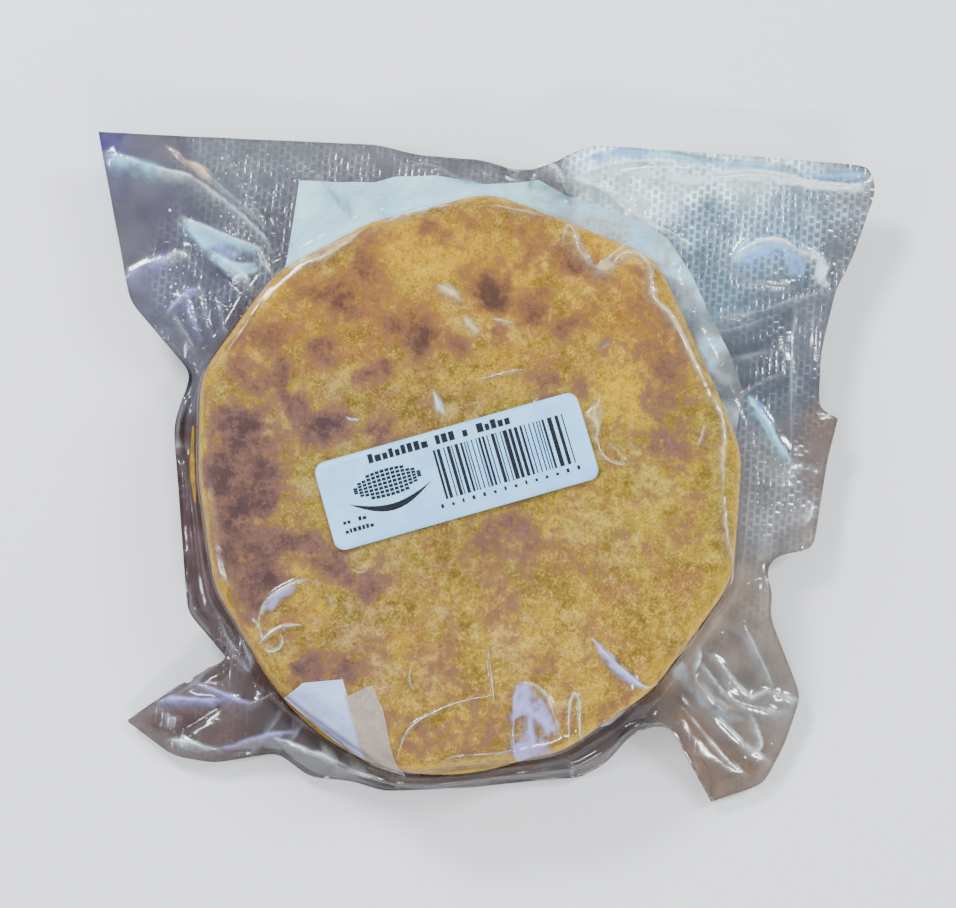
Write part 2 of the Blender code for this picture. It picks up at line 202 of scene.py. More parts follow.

# Creases and small blisters of the film over the top cake, given the same way, with painted highlights.
TOP_CREASES = (
    ("frost", 0.9, 0.9, 0.5, 0.5, ((-57, -44), (-58, -40), (-56.2, -34.5), (-51, -30.5), (-46, -28.6), (-41, -29.5))),
    ("orchid", 0.6, 1.2, 0.55, 0.0, ((-55, -37), (-53, -33), (-49, -30.5))),
    ("frost", 0.7, 0.8, 0.45, 0.4, ((-58, -46), (-54.5, -43), (-50, -41), (-46, -41))),
    ("frost", 0.6, 0.7, 0.4, 0.3, ((-52, -43.5), (-51.5, -46), (-53.5, -48), (-56, -48))),
    ("frost", 1.0, 0.9, 0.6, 0.5, ((33.5, -44.5), (37, -48.5), (41, -52.5), (45, -56), (48.5, -57.7), (52, -57))),
    ("orchid", 0.4, 1.4, 0.6, 0.0, ((36, -48), (41, -53.5), (46, -57))),
    ("frost", 0.8, 0.8, 0.5, 0.4, ((13, -56.5), (17.5, -57), (21, -60), (23.5, -65.5), (25, -72))),
    ("orchid", 0.6, 1.0, 0.4, 0.3, ((12, -60), (12, -66), (11.8, -72), (13, -77), (16, -79.5))),
    ("orchid", 0.3, 2.4, 0.75, 0.0, ((16, -64), (16.5, -70), (18, -77))),
    ("orchid", 0.2, 2.0, 0.6, 0.0, ((19, -62), (20.5, -67), (21.5, -72))),
    ("frost", 0.8, 0.7, 0.5, 0.4, ((27.3, -74), (27, -68), (27.3, -62.5), (28.6, -59.5), (30, -62), (30.3, -70), (32, -75))),
    ("frost", 0.5, 0.6, 0.3, 0.3, ((5, -47), (5.8, -55), (6.6, -62))),
    ("frost", 0.7, 0.7, 0.35, 0.35, ((-20, -77.5), (-17, -70), (-12.5, -66), (-6, -63), (0, -61.2), (6, -60))),
    ("orchid", 0.6, 0.7, 0.35, 0.3, ((-8, -78), (-2, -76.3), (6, -76), (14, -75))),
    ("cream", 0.8, 1.1, 0.75, 0.6, ((52, 60), (51, 56), (52, 51), (56.5, 46.5), (60.5, 39), (64, 31), (67, 25))),
    ("cream", 0.7, 1.0, 0.65, 0.5, ((67, 25), (70, 19), (71.2, 12), (70.6, 5), (70.3, -3))),
    ("cream", 0.7, 1.0, 0.6, 0.45, ((70.3, -3), (71, -11), (71.5, -18), (73, -25), (72, -35))),
    ("cream", 0.8, 1.0, 0.7, 0.55, ((40, 60), (42, 62.7), (44.5, 64.4), (47.5, 64.2), (50, 62), (51.3, 58.5))),
    ("cream", 0.7, 0.8, 0.5, 0.4, ((36, 60), (39, 62.4), (42, 64.8), (47, 69))),
    ("cream", 0.4, 1.6, 0.55, 0.0, ((36, 60), (38, 59), (40, 60))),
    ("cream", 0.5, 0.8, 0.35, 0.25, ((26, 67), (27.8, 72.5), (30, 70), (31, 65), (35.5, 60))),
    ("cream", 0.4, 1.4, 0.35, 0.0, ((30, 70), (31.5, 65.5), (34, 62))),
    ("cream", 0.5, 0.6, 0.5, 0.3, ((36.5, 25), (35.8, 20.5), (33, 18), (36, 15), (35.5, 10.5), (38, 5.5), (43, 4), (41, 8), (38, 10))),
    ("cream", 0.3, 1.2, 0.4, 0.0, ((35, 20), (35, 16), (36, 12))),
    ("cream", 0.4, 0.6, 0.4, 0.3, ((2, 27.5), (8, 29.2), (15, 30.6))),
    ("frost", 0.3, 0.9, 0.5, 0.35, ((-10.3, 24.5), (-9, 21), (-7, 18))),
    ("cream", 0.3, 1.3, 0.65, 0.0, ((-9, 54.5), (-5, 52.5), (-2.5, 50))),
    ("cream", 0.3, 1.1, 0.6, 0.3, ((-1.5, 45.5), (0.5, 43), (3, 41))),
    ("cream", 0.3, 0.9, 0.5, 0.3, ((6, 45), (9, 44.6), (12.5, 43.6))),
    ("frost", 0.3, 0.6, 0.5, 0.35, ((-34.5, 17.2), (-32.6, 16.3), (-30.6, 16.6))),
    ("frost", 0.3, 0.7, 0.35, 0.25, ((-40, -32), (-38.3, -34), (-38, -36))),
    ("frost", 0.3, 0.7, 0.35, 0.25, ((-33, -25), (-30.5, -26.4), (-28, -25.6))),
    ("frost", 0.3, 0.6, 0.3, 0.25, ((-35, -41.5), (-33, -40.6))),
    ("cream", 0.4, 0.7, 0.5, 0.3, ((63.5, 9), (64.8, 12), (65.5, 15))),
    ("frost", 0.3, 0.6, 0.3, 0.2, ((-16, -52), (-16.5, -56), (-15, -59))),
    ("cream", 0.5, 0.8, 0.4, 0.35, ((-55, 58), (-59, 51.5), (-63, 44), (-68.5, 35.5))),
    ("cream", 0.5, 1.4, 0.6, 0.35, ((-54, 59), (-48.5, 61.3), (-42, 62.8), (-36, 66.5), (-30.5, 71))),
    ("frost", 0.3, 1.4, 0.5, 0.25, ((-26, 72.5), (-19, 75.6), (-12, 77.6), (-5, 78.5))),
    ("cream", 0.3, 1.2, 0.35, 0.2, ((2, 78), (12, 77), (21, 75))),
    ("frost", 0.3, 0.6, 0.4, 0.25, ((14.5, 17.5), (17, 20), (19, 22.5))),
    ("cream", 0.3, 1.2, 0.35, 0.0, ((44, 11), (46, 8))),
    ("cream", 0.3, 1.2, 0.25, 0.0, ((39, 38), (37, 36.5))),
)

# Flat facets of film, painted with the light or the dark they reflect: tone, strength and outline (mm).
FLANGE_FACETS = (
    ("ice", 0.62, ((-84, 78.8), (-79, 77), (-73, 74.6), (-67, 72.2), (-61, 70), (-64, 69), (-70, 71),
                   (-75, 71.5), (-76.5, 69), (-79, 71), (-81.5, 74.5))),
    ("orchid", 0.35, ((-76, 71.5), (-70, 70.5), (-66, 69.5), (-68, 67), (-73, 66.5), (-76, 68))),
    ("ice", 0.75, ((-76, 67.5), (-72, 65.8), (-67, 64.8), (-62, 64), (-64, 62), (-68, 61.5), (-71.5, 63.5))),
    ("violet", 0.7, ((-109, 104), (-101, 103.5), (-103, 99), (-108, 97))),
    ("violet", 0.2, ((-108, 96), (-99, 93), (-100, 82), (-105, 84))),
    ("ice", 0.6, ((34, 96), (41, 99), (50, 99.2), (60, 98.7), (58, 96.8), (46, 96.8), (38, 95.2))),
    ("silver", 0.6, ((58, 98.6), (74, 97.2), (96, 95), (97, 91.5), (84, 93.4), (70, 95), (60, 96.6))),
    ("frost", 0.8, ((31, 89.5), (38, 92.5), (44, 95), (56, 93.2), (67, 91.4), (75, 93), (83, 92.6), (94, 90.6),
                    (102, 88.6), (117, 87.4), (117, 86), (102, 86.6), (94, 88.4), (83, 90), (75, 90.4), (67, 88.6),
                    (56, 90.6), (44, 92.6), (38, 90.4))),
    ("ice", 0.4, ((99, 94.5), (117, 93), (118, 90.3), (110, 89.5), (99, 91))),
    ("ice", 0.6, ((77.5, 65.2), (80, 68.2), (84, 70), (89, 70.7), (93.5, 69.2), (89, 69), (85.5, 67), (81.5, 65.4))),
    ("ice", 0.35, ((91, 69), (98, 66.6), (96.5, 60.5), (92.5, 61.5))),
    ("frost", 0.7, ((101.5, 66), (104.5, 64.5), (103.5, 61), (105, 59), (102, 58.5), (101, 62))),
    ("ice", 0.85, ((81, 25.5), (83, 24.4), (86.5, 18.5), (90, 12.2), (92.5, 7.4), (89.5, 9.5), (86, 14.5), (83, 20))),
    ("pewter", 0.6, ((60, -50), (66, -57), (72, -62), (79, -67), (74, -68), (66, -63), (60, -57), (57, -53))),
    ("warm", 0.7, ((57, -62), (63, -66), (69, -73), (76, -79), (81, -83), (73, -79.5), (66, -73.5), (59, -66.5))),
    ("lilac", 0.5, ((-89, -60.2), (-80, -59), (-70, -60), (-72, -62.2), (-80, -63.4), (-88, -63.5))),
    ("pewter", 0.3, ((-85, -72.2), (-80, -72.4), (-73, -74.4), (-78, -76), (-83, -75))),
    ("umber", 0.5, ((-96, -67), (-84, -71), (-76, -66), (-84, -63.6), (-92, -65.5))),
)
# Facets of the film over the top cake, painted with the light they reflect, given the same way.
TOP_FACETS = (
    ("orchid", 0.85, ((13, -57), (16, -57.4), (19.6, -61), (22.6, -66), (24.6, -72), (21.5, -69.5),
                      (18, -66.5), (14.5, -65.6), (12, -66.6), (11.8, -61))),
    ("orchid", 0.8, ((11.8, -74.5), (14.5, -72), (18, -71), (21.5, -73.2), (24.4, -77.6), (20, -79.6), (14.5, -80.6))),
    ("orchid", 0.75, ((34, -45), (36.2, -46.4), (41.5, -51.6), (47, -56.6), (45.4, -57.2), (40, -53.4), (35.6, -48.6))),
    ("orchid", 0.5, ((-56.6, -36), (-54, -32), (-49, -29.8), (-47.6, -31), (-50.6, -33), (-54.4, -37))),
    ("cream", 0.55, ((36, 60), (38.5, 58.8), (41, 60.2), (39.5, 62), (37.5, 62))),
    ("cream", 0.45, ((-9.4, 55.4), (-6, 55.4), (-2.6, 52.8), (-4, 50.8), (-7.6, 52.2))),
    ("cream", 0.5, ((-1.6, 46), (0.6, 44.6), (3, 42), (1.6, 41), (-0.8, 42.8))),
    ("frost", 0.55, ((-10.4, 24.6), (-8.8, 23.4), (-6.6, 18), (-9.6, 19))),
    ("cream", 0.35, ((34, 20), (37, 20.5), (36.5, 15), (34.4, 14.6))),
    ("cream", 0.6, ((-48, 61.2), (-40, 63), (-34, 67.6), (-30.6, 71.2), (-37, 68.6), (-43.5, 65), (-49, 63.2))),
)
FACET_EDGE = 0.7  # mm over which a facet fades out

# Corners of the cake's outline, joined by nearly straight runs (mm).
CAKE_CORNERS = (
    (6, 83.5), (53, 64.5), (71.5, 22), (76.8, 8), (73.5, -28), (51, -58.5), (25, -76), (-20, -81.5),
    (-54, -57.5), (-71.5, -30), (-76.5, 2), (-76.5, 30), (-56, 59.5), (-28, 75),
)
CORNER_ROUNDING = 3.0  # degrees

# Toasted patches of the top cake: place, reach (mm) and how dark.
TOAST = (
    (-31, 60, 4.5, 0.9), (-38, 53, 5, 1.0), (-36, 49, 3.5, 0.8), (-47, 52, 7, 0.55), (-41, 34, 3.6, 1.0),
    (-43, 38, 3, 0.8), (-38, 43, 4, 0.5), (-56, 38, 5.5, 0.85), (-64, 40, 4, 0.6), (-15, 44, 6, 0.7),
    (-11, 39, 4.5, 0.9), (-15, 36, 4, 0.8), (-22, 42, 4, 0.6), (-52, 31, 3, 0.85), (-49, 21, 4.5, 0.9),
    (-53, 26, 4, 0.8), (-60, 26, 4.5, 0.7), (-65, 32, 3.5, 0.8), (-68, 17, 5, 0.9), (-61, 15, 4.5, 1.1),
    (-66, 10, 5, 0.8), (-70, 4, 5, 0.9), (-60, 6, 6, 0.75), (-55, 3, 5, 0.75), (-44, 13, 5, 0.9),
    (-37, 14, 5, 0.9), (-40, 17, 3, 0.7), (-24, 15, 4, 0.9), (-26, 11, 3, 0.7), (-32, 28, 3, 0.6),
    (-24, 32, 3.2, 0.9), (-28, 30, 3, 0.7), (-13, 72, 3.5, 0.8), (-8, 69, 3, 0.5), (-2, 58, 4, 0.6),
    (-3, 38, 3, 0.9), (-29, 67, 6, 0.4), (-24, 53, 6, 0.5), (-30, 47, 5, 0.3), (6, 55, 5, 1.0),
    (4, 51, 4, 0.9), (9, 50, 4, 0.8), (17, 47, 4.5, 0.9), (20, 51, 4, 0.5), (25, 41, 4, 0.8),
    (30, 44, 4, 0.7), (34, 50, 3.5, 0.5), (27, 63, 4, 0.85), (32, 61, 4, 0.75), (38, 58, 3, 0.7),
    (14, 72, 4, 0.5), (19, 67, 5, 0.5), (16, 62, 5, 0.4), (8, 40, 3.5, 0.7), (38, 37, 2.5, 0.6),
    (47, 58, 2, 0.6), (54, 58, 2.5, 1.0), (47, 51, 4, 0.4), (52, 45, 6, 0.5), (56, 37, 8, 0.5),
    (47, 36, 4, 0.4), (55, 27, 7, 0.5), (50, 17, 8, 0.4), (57, 9, 8, 0.45), (32, 26, 4, 0.6),
    (22, 26, 4, 0.8), (2, 71, 4, 0.5), (0, 76, 4, 0.4), (-65, -5, 6, 0.9), (-57, -4, 4.5, 0.85),
    (-66, -13, 5.5, 1.0), (-61, -9, 4, 0.8), (-70, -1, 4, 0.7), (-47, -17, 5, 0.9), (-54, -19, 5, 0.85),
    (-61, -20, 5.5, 0.8), (-67, -22, 4, 0.8), (-41, -21, 5, 0.6), (-35, -21, 4, 0.5), (-62, -29, 5, 0.9),
    (-55, -28, 4, 1.2), (-58, -34, 4, 0.7), (-60, -38, 3, 0.6), (-37, -26, 3.2, 0.9), (-33, -29, 3, 0.8),
    (-26, -28, 3.2, 0.8), (-27, -32, 2.4, 0.6), (-24, -22, 3, 0.3), (-47, -45, 4, 0.5), (-47, -53, 4, 0.9),
    (-42, -50, 3.5, 0.7), (-34, -54, 4, 0.9), (-26, -48, 4, 0.5), (-43, -57, 5, 0.6), (-30, -44, 5, 0.3),
    (8, -13, 8, 0.6), (2, -18, 6, 0.5), (18, -18, 5, 0.5), (14, -27, 5, 0.35), (34, -26, 3.5, 0.4),
    (5, -33, 6, 0.3), (22, -52, 5, 0.5), (5, -69, 8, 0.45), (-10, -52, 6, 0.25), (40, -63, 5, 0.3),
    (60, -15, 8, 0.3), (-15, -71, 7, 0.45), (-3, -56, 5, 0.25), (42, -18, 6, 0.3), (-53, 12, 3, 0.3),
)

# Patches where the moist yellow dough shows strongest: place, reach and strength.
YOLK = (
    (-12, 62, 12, 0.7), (-20, 72, 8, 0.6), (0, 66, 8, 0.5), (14, 57, 9, 0.6), (40, 70, 7, 0.9),
    (47, 62, 6, 0.7), (45, 26, 12, 0.8), (74, 30, 7, 0.9), (66, 44, 5, 0.7), (75, 10, 5, 0.9),
    (76, -8, 5, 0.8), (74, -28, 6, 0.8), (64, -44, 6, 0.9), (52, -58, 7, 0.7), (35, -72, 8, 0.7),
    (10, -80, 8, 0.6), (-12, -78, 8, 0.5), (-50, -53, 4, 1.0), (-62, -42, 5, 0.8), (-70, -30, 4, 0.8),
    (-73, -10, 3.5, 0.7), (-74, 10, 3, 0.6), (-76, 29, 4, 1.2), (-66, 42, 5, 0.7), (-55, 57, 6, 0.7),
    (-46, -26, 6, 0.6), (-44, -36, 6, 0.6), (-20, -45, 5, 0.5), (10, 33, 10, 0.5), (40, 20, 8, 0.5),
    (52, -14, 7, 0.4), (25, -12, 8, 0.4), (20, -42, 10, 0.35), (-5, 28, 7, 0.3), (-40, 0, 8, 0.2),
)

# ---------------------------------------------------------------- small tools


def smooth_step(low, high, value):
    share = np.clip((value - low) / (high - low), 0.0, 1.0)
    return share * share * (3 - 2 * share)


def soft_noise(x, y, size, seed):
    """Smooth random heights between -1 and 1, one bump every `size`, the same on every run."""
    table = np.random.default_rng(seed).uniform(-1.0, 1.0, (128, 128))
    u, v = x / size, y / size
    column, row = np.floor(u).astype(int), np.floor(v).astype(int)
    fu, fv = u - column, v - row
    fu = fu * fu * fu * (fu * (fu * 6 - 15) + 10)
    fv = fv * fv * fv * (fv * (fv * 6 - 15) + 10)
    left, right = column % 128, (column + 1) % 128
    near, far = row % 128, (row + 1) % 128
    low = table[left, near] * (1 - fu) + table[right, near] * fu
    high = table[left, far] * (1 - fu) + table[right, far] * fu
    return low * (1 - fv) + high * fv


def layered_noise(x, y, size, seed, layers=4, fade=0.55):
    total, height, reach = 0.0, 1.0, 0.0
    for layer in range(layers):
        total = total + height * soft_noise(x, y, size / 2**layer, seed + layer)
        reach += height
        height *= fade
    return total / reach


def patches(x, y, spots):
    """Sum of soft patches, each with its place, reach and strength, pulled out of round by noise."""
    total = np.zeros_like(x)
    sway_x = 2.6 * MM * layered_noise(x, y, 7 * MM, 81, 3)
    sway_y = 2.6 * MM * layered_noise(x, y, 7 * MM, 86, 3)
    x, y = x + sway_x, y + sway_y
    for px, py, reach, strength in spots:
        square = (x - px * MM) ** 2 + (y - py * MM) ** 2
        total += strength * np.exp(-square / (reach * MM) ** 2)
    return total


def rounded_run(places, step):
    """Points at even steps along a smooth curve through the places, in metres."""
    knots = np.array(places, dtype=float) * MM
    before = np.vstack([2 * knots[0] - knots[1], knots, 2 * knots[-1] - knots[-2]])
    points = []
    for a, b, c, d in zip(before, before[1:], before[2:], before[3:]):
        count = max(2, math.ceil(np.linalg.norm(c - b) / step))
        t = np.linspace(0, 1, count, endpoint=False)[:, None]
        points.append(0.5 * (2 * b + (c - a) * t + (2 * a - 5 * b + 4 * c - d) * t**2
                             + (3 * b - a - 3 * c + d) * t**3))
    points.append(knots[-1:])
    return np.vstack(points)


def near_run(x, y, run, reach):
    """Which places lie near a run, how far to its left they are and how far along it they are."""
    near = (x > run[:, 0].min() - reach) & (x < run[:, 0].max() + reach)
    near &= (y > run[:, 1].min() - reach) & (y < run[:, 1].max() + reach)
    px, py = x[near], y[near]
    lengths = np.linalg.norm(np.diff(run, axis=0), axis=1)
    starts = np.concatenate([[0.0], np.cumsum(lengths)])
    nearest = np.full(px.shape, np.inf)
    side = np.ones(px.shape)
    along = np.zeros(px.shape)
    for start, step, length, before in zip(run, np.diff(run, axis=0), lengths, starts):
        share = ((px - start[0]) * step[0] + (py - start[1]) * step[1]) / length**2
        share = np.clip(share, 0.0, 1.0)
        away = np.hypot(px - start[0] - share * step[0], py - start[1] - share * step[1])
        closer = away < nearest
        nearest[closer] = away[closer]
        leftward = step[0] * (py - start[1]) - step[1] * (px - start[0])
        side[closer] = np.sign(leftward[closer])
        along[closer] = (before + share[closer] * length) / starts[-1]
    return near, nearest * side, along


def depth_inside(x, y, outline):
    """Distance from each place to an outline, positive inside it."""
    points = np.array(outline, dtype=float) * MM
    within = np.zeros(x.shape, dtype=bool)
    nearest = np.full(x.shape, np.inf)
    for a, b in zip(points, np.roll(points, -1, axis=0)):
        step = b - a
        share = np.clip(((x - a[0]) * step[0] + (y - a[1]) * step[1]) / (step @ step), 0, 1)
        nearest = np.minimum(nearest, np.hypot(x - a[0] - share * step[0], y - a[1] - share * step[1]))
        if step[1]:
            crosses = (a[1] > y) != (b[1] > y)
            within ^= crosses & (x < a[0] + (y - a[1]) * step[0] / step[1])
    return np.where(within, nearest, -nearest)


class FilmPaint:
    """Whiteness and colour that creases and facets add up to on a film: stress-whitened film with painted highlights,
    reflections and shade.
    """

    def __init__(self, count):
        self.white = np.zeros(count)
        self.tone = np.zeros((count, 3))
        self.weights = np.full(count, 1e-9)

    def lay(self, where, share, tone):
        self.white[where] = 1 - (1 - self.white[where]) * (1 - share)
        self.tone[where] += share[:, None] ** 2 * np.array(FILM_TONES[tone])
        self.weights[where] += share**2

    def result(self, shape):
        tone = self.tone / self.weights[:, None]
        return self.white.reshape(shape), tone.reshape(shape + (3,))


def crease_effects(x, y, creases, facets):
    """What creases and facets do at each place: rise, whiteness and colour, the last two with painted highlights,
    reflections and shade.
    """
    shape = x.shape
    x, y = x.ravel(), y.ravel()
    rise, paint = np.zeros(len(x)), FilmPaint(len(x))
    ragged = 0.6 * MM * layered_noise(x, y, 2.6 * MM, 61, 2)
    streaks = layered_noise(x, y, 1.6 * MM, 66, 2)
    gaps = layered_noise(x, y, 5.0 * MM, 68, 2)
    for tone, height, width, whitening_and_painted_light, _, places in creases:
        run = rounded_run(places, 2.0 * MM)
        width = width * MM
        near, leftward, along = near_run(x, y, run, 5 * width)
        fade = smooth_step(0.0, 0.2, along) * smooth_step(0.0, 0.2, 1 - along)
        rise[near] += height * MM * np.exp(-np.abs(leftward) / width) * (0.3 + 0.7 * fade)
        # Painted highlight along each crease, or painted shade where its tone is dark: sharp on one side, soft on the
        # other, broken in places.
        away = leftward + 0.4 * ragged[near]
        sharp = np.exp(-(away / (0.45 * width)) ** 2)
        soft = np.exp(away / (0.85 * width)) * (0.75 + 0.5 * streaks[near])
        broken = np.clip(1.0 + 0.8 * gaps[near], 0.3, 1.2)
        share = 1.2 * whitening_and_painted_light * np.where(away > 0, sharp, soft) * (0.35 + 0.65 * fade) * broken
        share = np.clip(share, 0, 0.97)
        paint.lay(near, share, tone)
    # Facets painted with the light or the dark they reflect.
    for tone, strength, outline in facets:
        low, high = np.min(outline, axis=0) * MM - 2 * MM, np.max(outline, axis=0) * MM + 2 * MM
        near = np.flatnonzero((x > low[0]) & (x < high[0]) & (y > low[1]) & (y < high[1]))
        depth = depth_inside(x[near], y[near], outline) + ragged[near]
        uneven = 0.85 + 0.9 * layered_noise(x[near], y[near], 3 * MM, 63, 3)
        share = strength * smooth_step(-FACET_EDGE * MM, FACET_EDGE * MM, depth) * np.clip(uneven, 0.2, 1.1)
        paint.lay(near, np.clip(share, 0, 0.95), tone)
    return rise.reshape(shape), *paint.result(shape)


def new_piece(name, vertices, faces, material=None, smooth=True):
    mesh = bpy.data.meshes.new(name)
    mesh.from_pydata([tuple(v) for v in vertices], [], faces)
    mesh.validate()
    if smooth:
        mesh.shade_smooth()
    piece = bpy.data.objects.new(name, mesh)
    bpy.context.scene.collection.objects.link(piece)
    if material:
        mesh.materials.append(material)
    return piece


def grid_faces(rings, stations, flip=False):
    """Quads over a grid of rings and stations, closed round each ring."""
    ring = np.arange(rings - 1)[:, None] * stations
    here = np.arange(stations)[None, :]
    following = (here + 1) % stations
    corners = [ring + here, ring + following, ring + stations + following, ring + stations + here]
    faces = np.stack(corners, axis=-1).reshape(-1, 4)
    return faces[:, ::-1] if flip else faces


def store(piece, name, values):
    """Keep one number for each vertex under a name that the material reads."""
    attribute = piece.data.attributes.new(name, "FLOAT", "POINT")
    attribute.data.foreach_set("value", np.asarray(values, dtype=np.float32).ravel())


def store_colour(piece, name, colours):
    attribute = piece.data.color_attributes.new(name, "FLOAT_COLOR", "POINT")
    opaque = np.column_stack([colours, np.ones(len(colours))])
    attribute.data.foreach_set("color", opaque.astype(np.float32).ravel())


# ---------------------------------------------------------------- shape of the stack and the film


def lobed_radius(angles):
    radius = np.full(len(angles), CAKE_RADIUS)
    for count, depth, turn in CAKE_LOBES:
        radius += depth * np.cos(count * (angles - math.radians(turn)))
    return radius


def reach_to(outline, turns):
    """How far an outline lies from the cake's centre in each direction."""
    out = np.column_stack([np.cos(turns), np.sin(turns)])
    corners = np.array(outline, dtype=float) * MM - CAKE_CENTRE
    radius = np.full(len(turns), np.inf)
    for start, end in zip(corners, np.roll(corners, -1, axis=0)):
        side = end - start
        span = out[:, 0] * side[1] - out[:, 1] * side[0]
        with np.errstate(divide="ignore", invalid="ignore"):
            reach = (start[0] * side[1] - start[1] * side[0]) / span
            share = (start[0] * out[:, 1] - start[1] * out[:, 0]) / span
        hit = (reach > 0) & (share >= -1e-9) & (share <= 1 + 1e-9)
        radius[hit] = np.minimum(radius[hit], reach[hit])
    return radius


def cornered_radius():
    """The top cake's radius at even angles: straight runs between its corners, then rounded."""
    turns = np.linspace(0, 2 * math.pi, 720, endpoint=False)
    radius = reach_to(CAKE_CORNERS, turns)
    steps = np.arange(-30, 31)
    weights = np.exp(-0.5 * (steps * 0.5 / CORNER_ROUNDING) ** 2)
    weights /= weights.sum()
    return turns, sum(w * np.roll(radius, k) for w, k in zip(weights, steps))


CORNERED = cornered_radius()


def cake_rim(angles, shift=(0.0, 0.0)):
    """Points on a cake's rim at the given angles, and the directions out of it."""
    out = np.column_stack([np.cos(angles), np.sin(angles)])
    if shift[0] or shift[1]:
        radius = lobed_radius(angles)
    else:
        radius = np.interp(np.mod(angles, 2 * math.pi), *CORNERED, period=2 * math.pi)
    return np.add(CAKE_CENTRE, shift) + radius[:, None] * out, out


def cut_edge():
    """The film's cut edge at even close steps, anticlockwise, rounded between its sharp corners."""
    corners = np.array(CUT_EDGE[::-1], dtype=float) * MM
    dense = []
    for start, end in zip(corners, np.roll(corners, -1, axis=0)):
        count = max(1, round(np.linalg.norm(end - start) / (0.5 * MM)))
        dense.extend(start + (end - start) * step / count for step in range(count))
    dense = np.array(dense)
    reach = round(3 * EDGE_ROUNDING / (0.5 * MM))
    weights = np.exp(-0.5 * (np.arange(-reach, reach + 1) * 0.5 * MM / EDGE_ROUNDING) ** 2)
    weights /= weights.sum()
    rounded = sum(w * np.roll(dense, k, axis=0) for w, k in zip(weights, range(-reach, reach + 1)))
    sharp = np.full(len(dense), np.inf)
    for x, y in SHARP_CORNERS:
        sharp = np.minimum(sharp, np.hypot(dense[:, 0] - x * MM, dense[:, 1] - y * MM))
    blend = smooth_step(0.0, 4 * EDGE_ROUNDING, sharp)[:, None]
    return dense + (rounded - dense) * blend


def steady_angles(edge):
    """The angle of each station round the stack, made to rise steadily past the loose flaps."""
    raw = np.unwrap(np.arctan2(edge[:, 1] - CAKE_CENTRE[1], edge[:, 0] - CAKE_CENTRE[0]))
    least = math.radians(0.05)
    forward, backward = raw.copy(), raw.copy()
    for i in range(1, len(raw)):
        forward[i] = max(forward[i], forward[i - 1] + least)
        backward[-1 - i] = min(backward[-1 - i], backward[-i] - least)
    return (forward + backward) / 2


def film_stations():
    """Edge points and stack angles of the film's stations, shared out by length and by angle."""
    edge = cut_edge()
    angles = steady_angles(edge)
    closed = np.vstack([edge, edge[:1]])
    length = np.concatenate([[0.0], np.cumsum(np.linalg.norm(np.diff(closed, axis=0), axis=1))])
    turn = np.concatenate([angles, [angles[0] + 2 * math.pi]])
    measure = 0.5 * length / length[-1] + 0.5 * (turn - turn[0]) / (2 * math.pi)
    wanted = np.arange(FILM_STATIONS) / FILM_STATIONS
    points = np.column_stack([np.interp(wanted, measure, closed[:, k]) for k in range(3)])
    return points, np.interp(wanted, measure, turn)


def random_pleats(count, seed):
    """Thin pleats that start at the stack's foot and run outwards, each a little bent."""
    chance = np.random.default_rng(seed)
    pleats = []
    for _ in range(count):
        angle = chance.uniform(0, 2 * math.pi)
        rim, out = cake_rim(np.array([angle]))
        start = rim[0] + out[0] * chance.uniform(2, 9) * MM
        side = np.array([-out[0][1], out[0][0]])
        length = chance.uniform(7, 26) * MM
        lean = chance.normal(0, 0.3)
        bend = chance.normal(0, 0.15)
        steps = np.linspace(0, 1, 5)[:, None]
        run = start + out[0] * length * steps + side * length * (lean * steps + bend * steps**2)
        height = chance.uniform(0.2, 0.6) * chance.choice([-1, 1])
        tone = chance.choice(["pewter", "smoke", "steel"])
        width = chance.uniform(0.9, 1.6)
        pleats.append((tone, height, width, chance.uniform(0.0, 0.35), 0.0, (run / MM).tolist()))
    return pleats


def top_sway(x, y):
    """Slow rise and fall of the stack's top, from uneven cakes."""
    return 0.22 * MM * layered_noise(x, y, 34 * MM, 11, 2)


def flange_rows(edge, foot, foot_height, angles, count):
    rows = []
    for share in np.linspace(0.0, 1.0, count):
        ease = share * share * (3 - 2 * share)
        height = edge[:, 2] + (foot_height - edge[:, 2]) * ease
        pleat = sum(tall * np.sin(n * angles + phase) for n, tall, phase in PLEATS)
        height = height + pleat * math.sin(math.pi * share) ** 2
        rows.append(np.column_stack([edge[:, :2] + (foot - edge[:, :2]) * share, height]))
    return rows


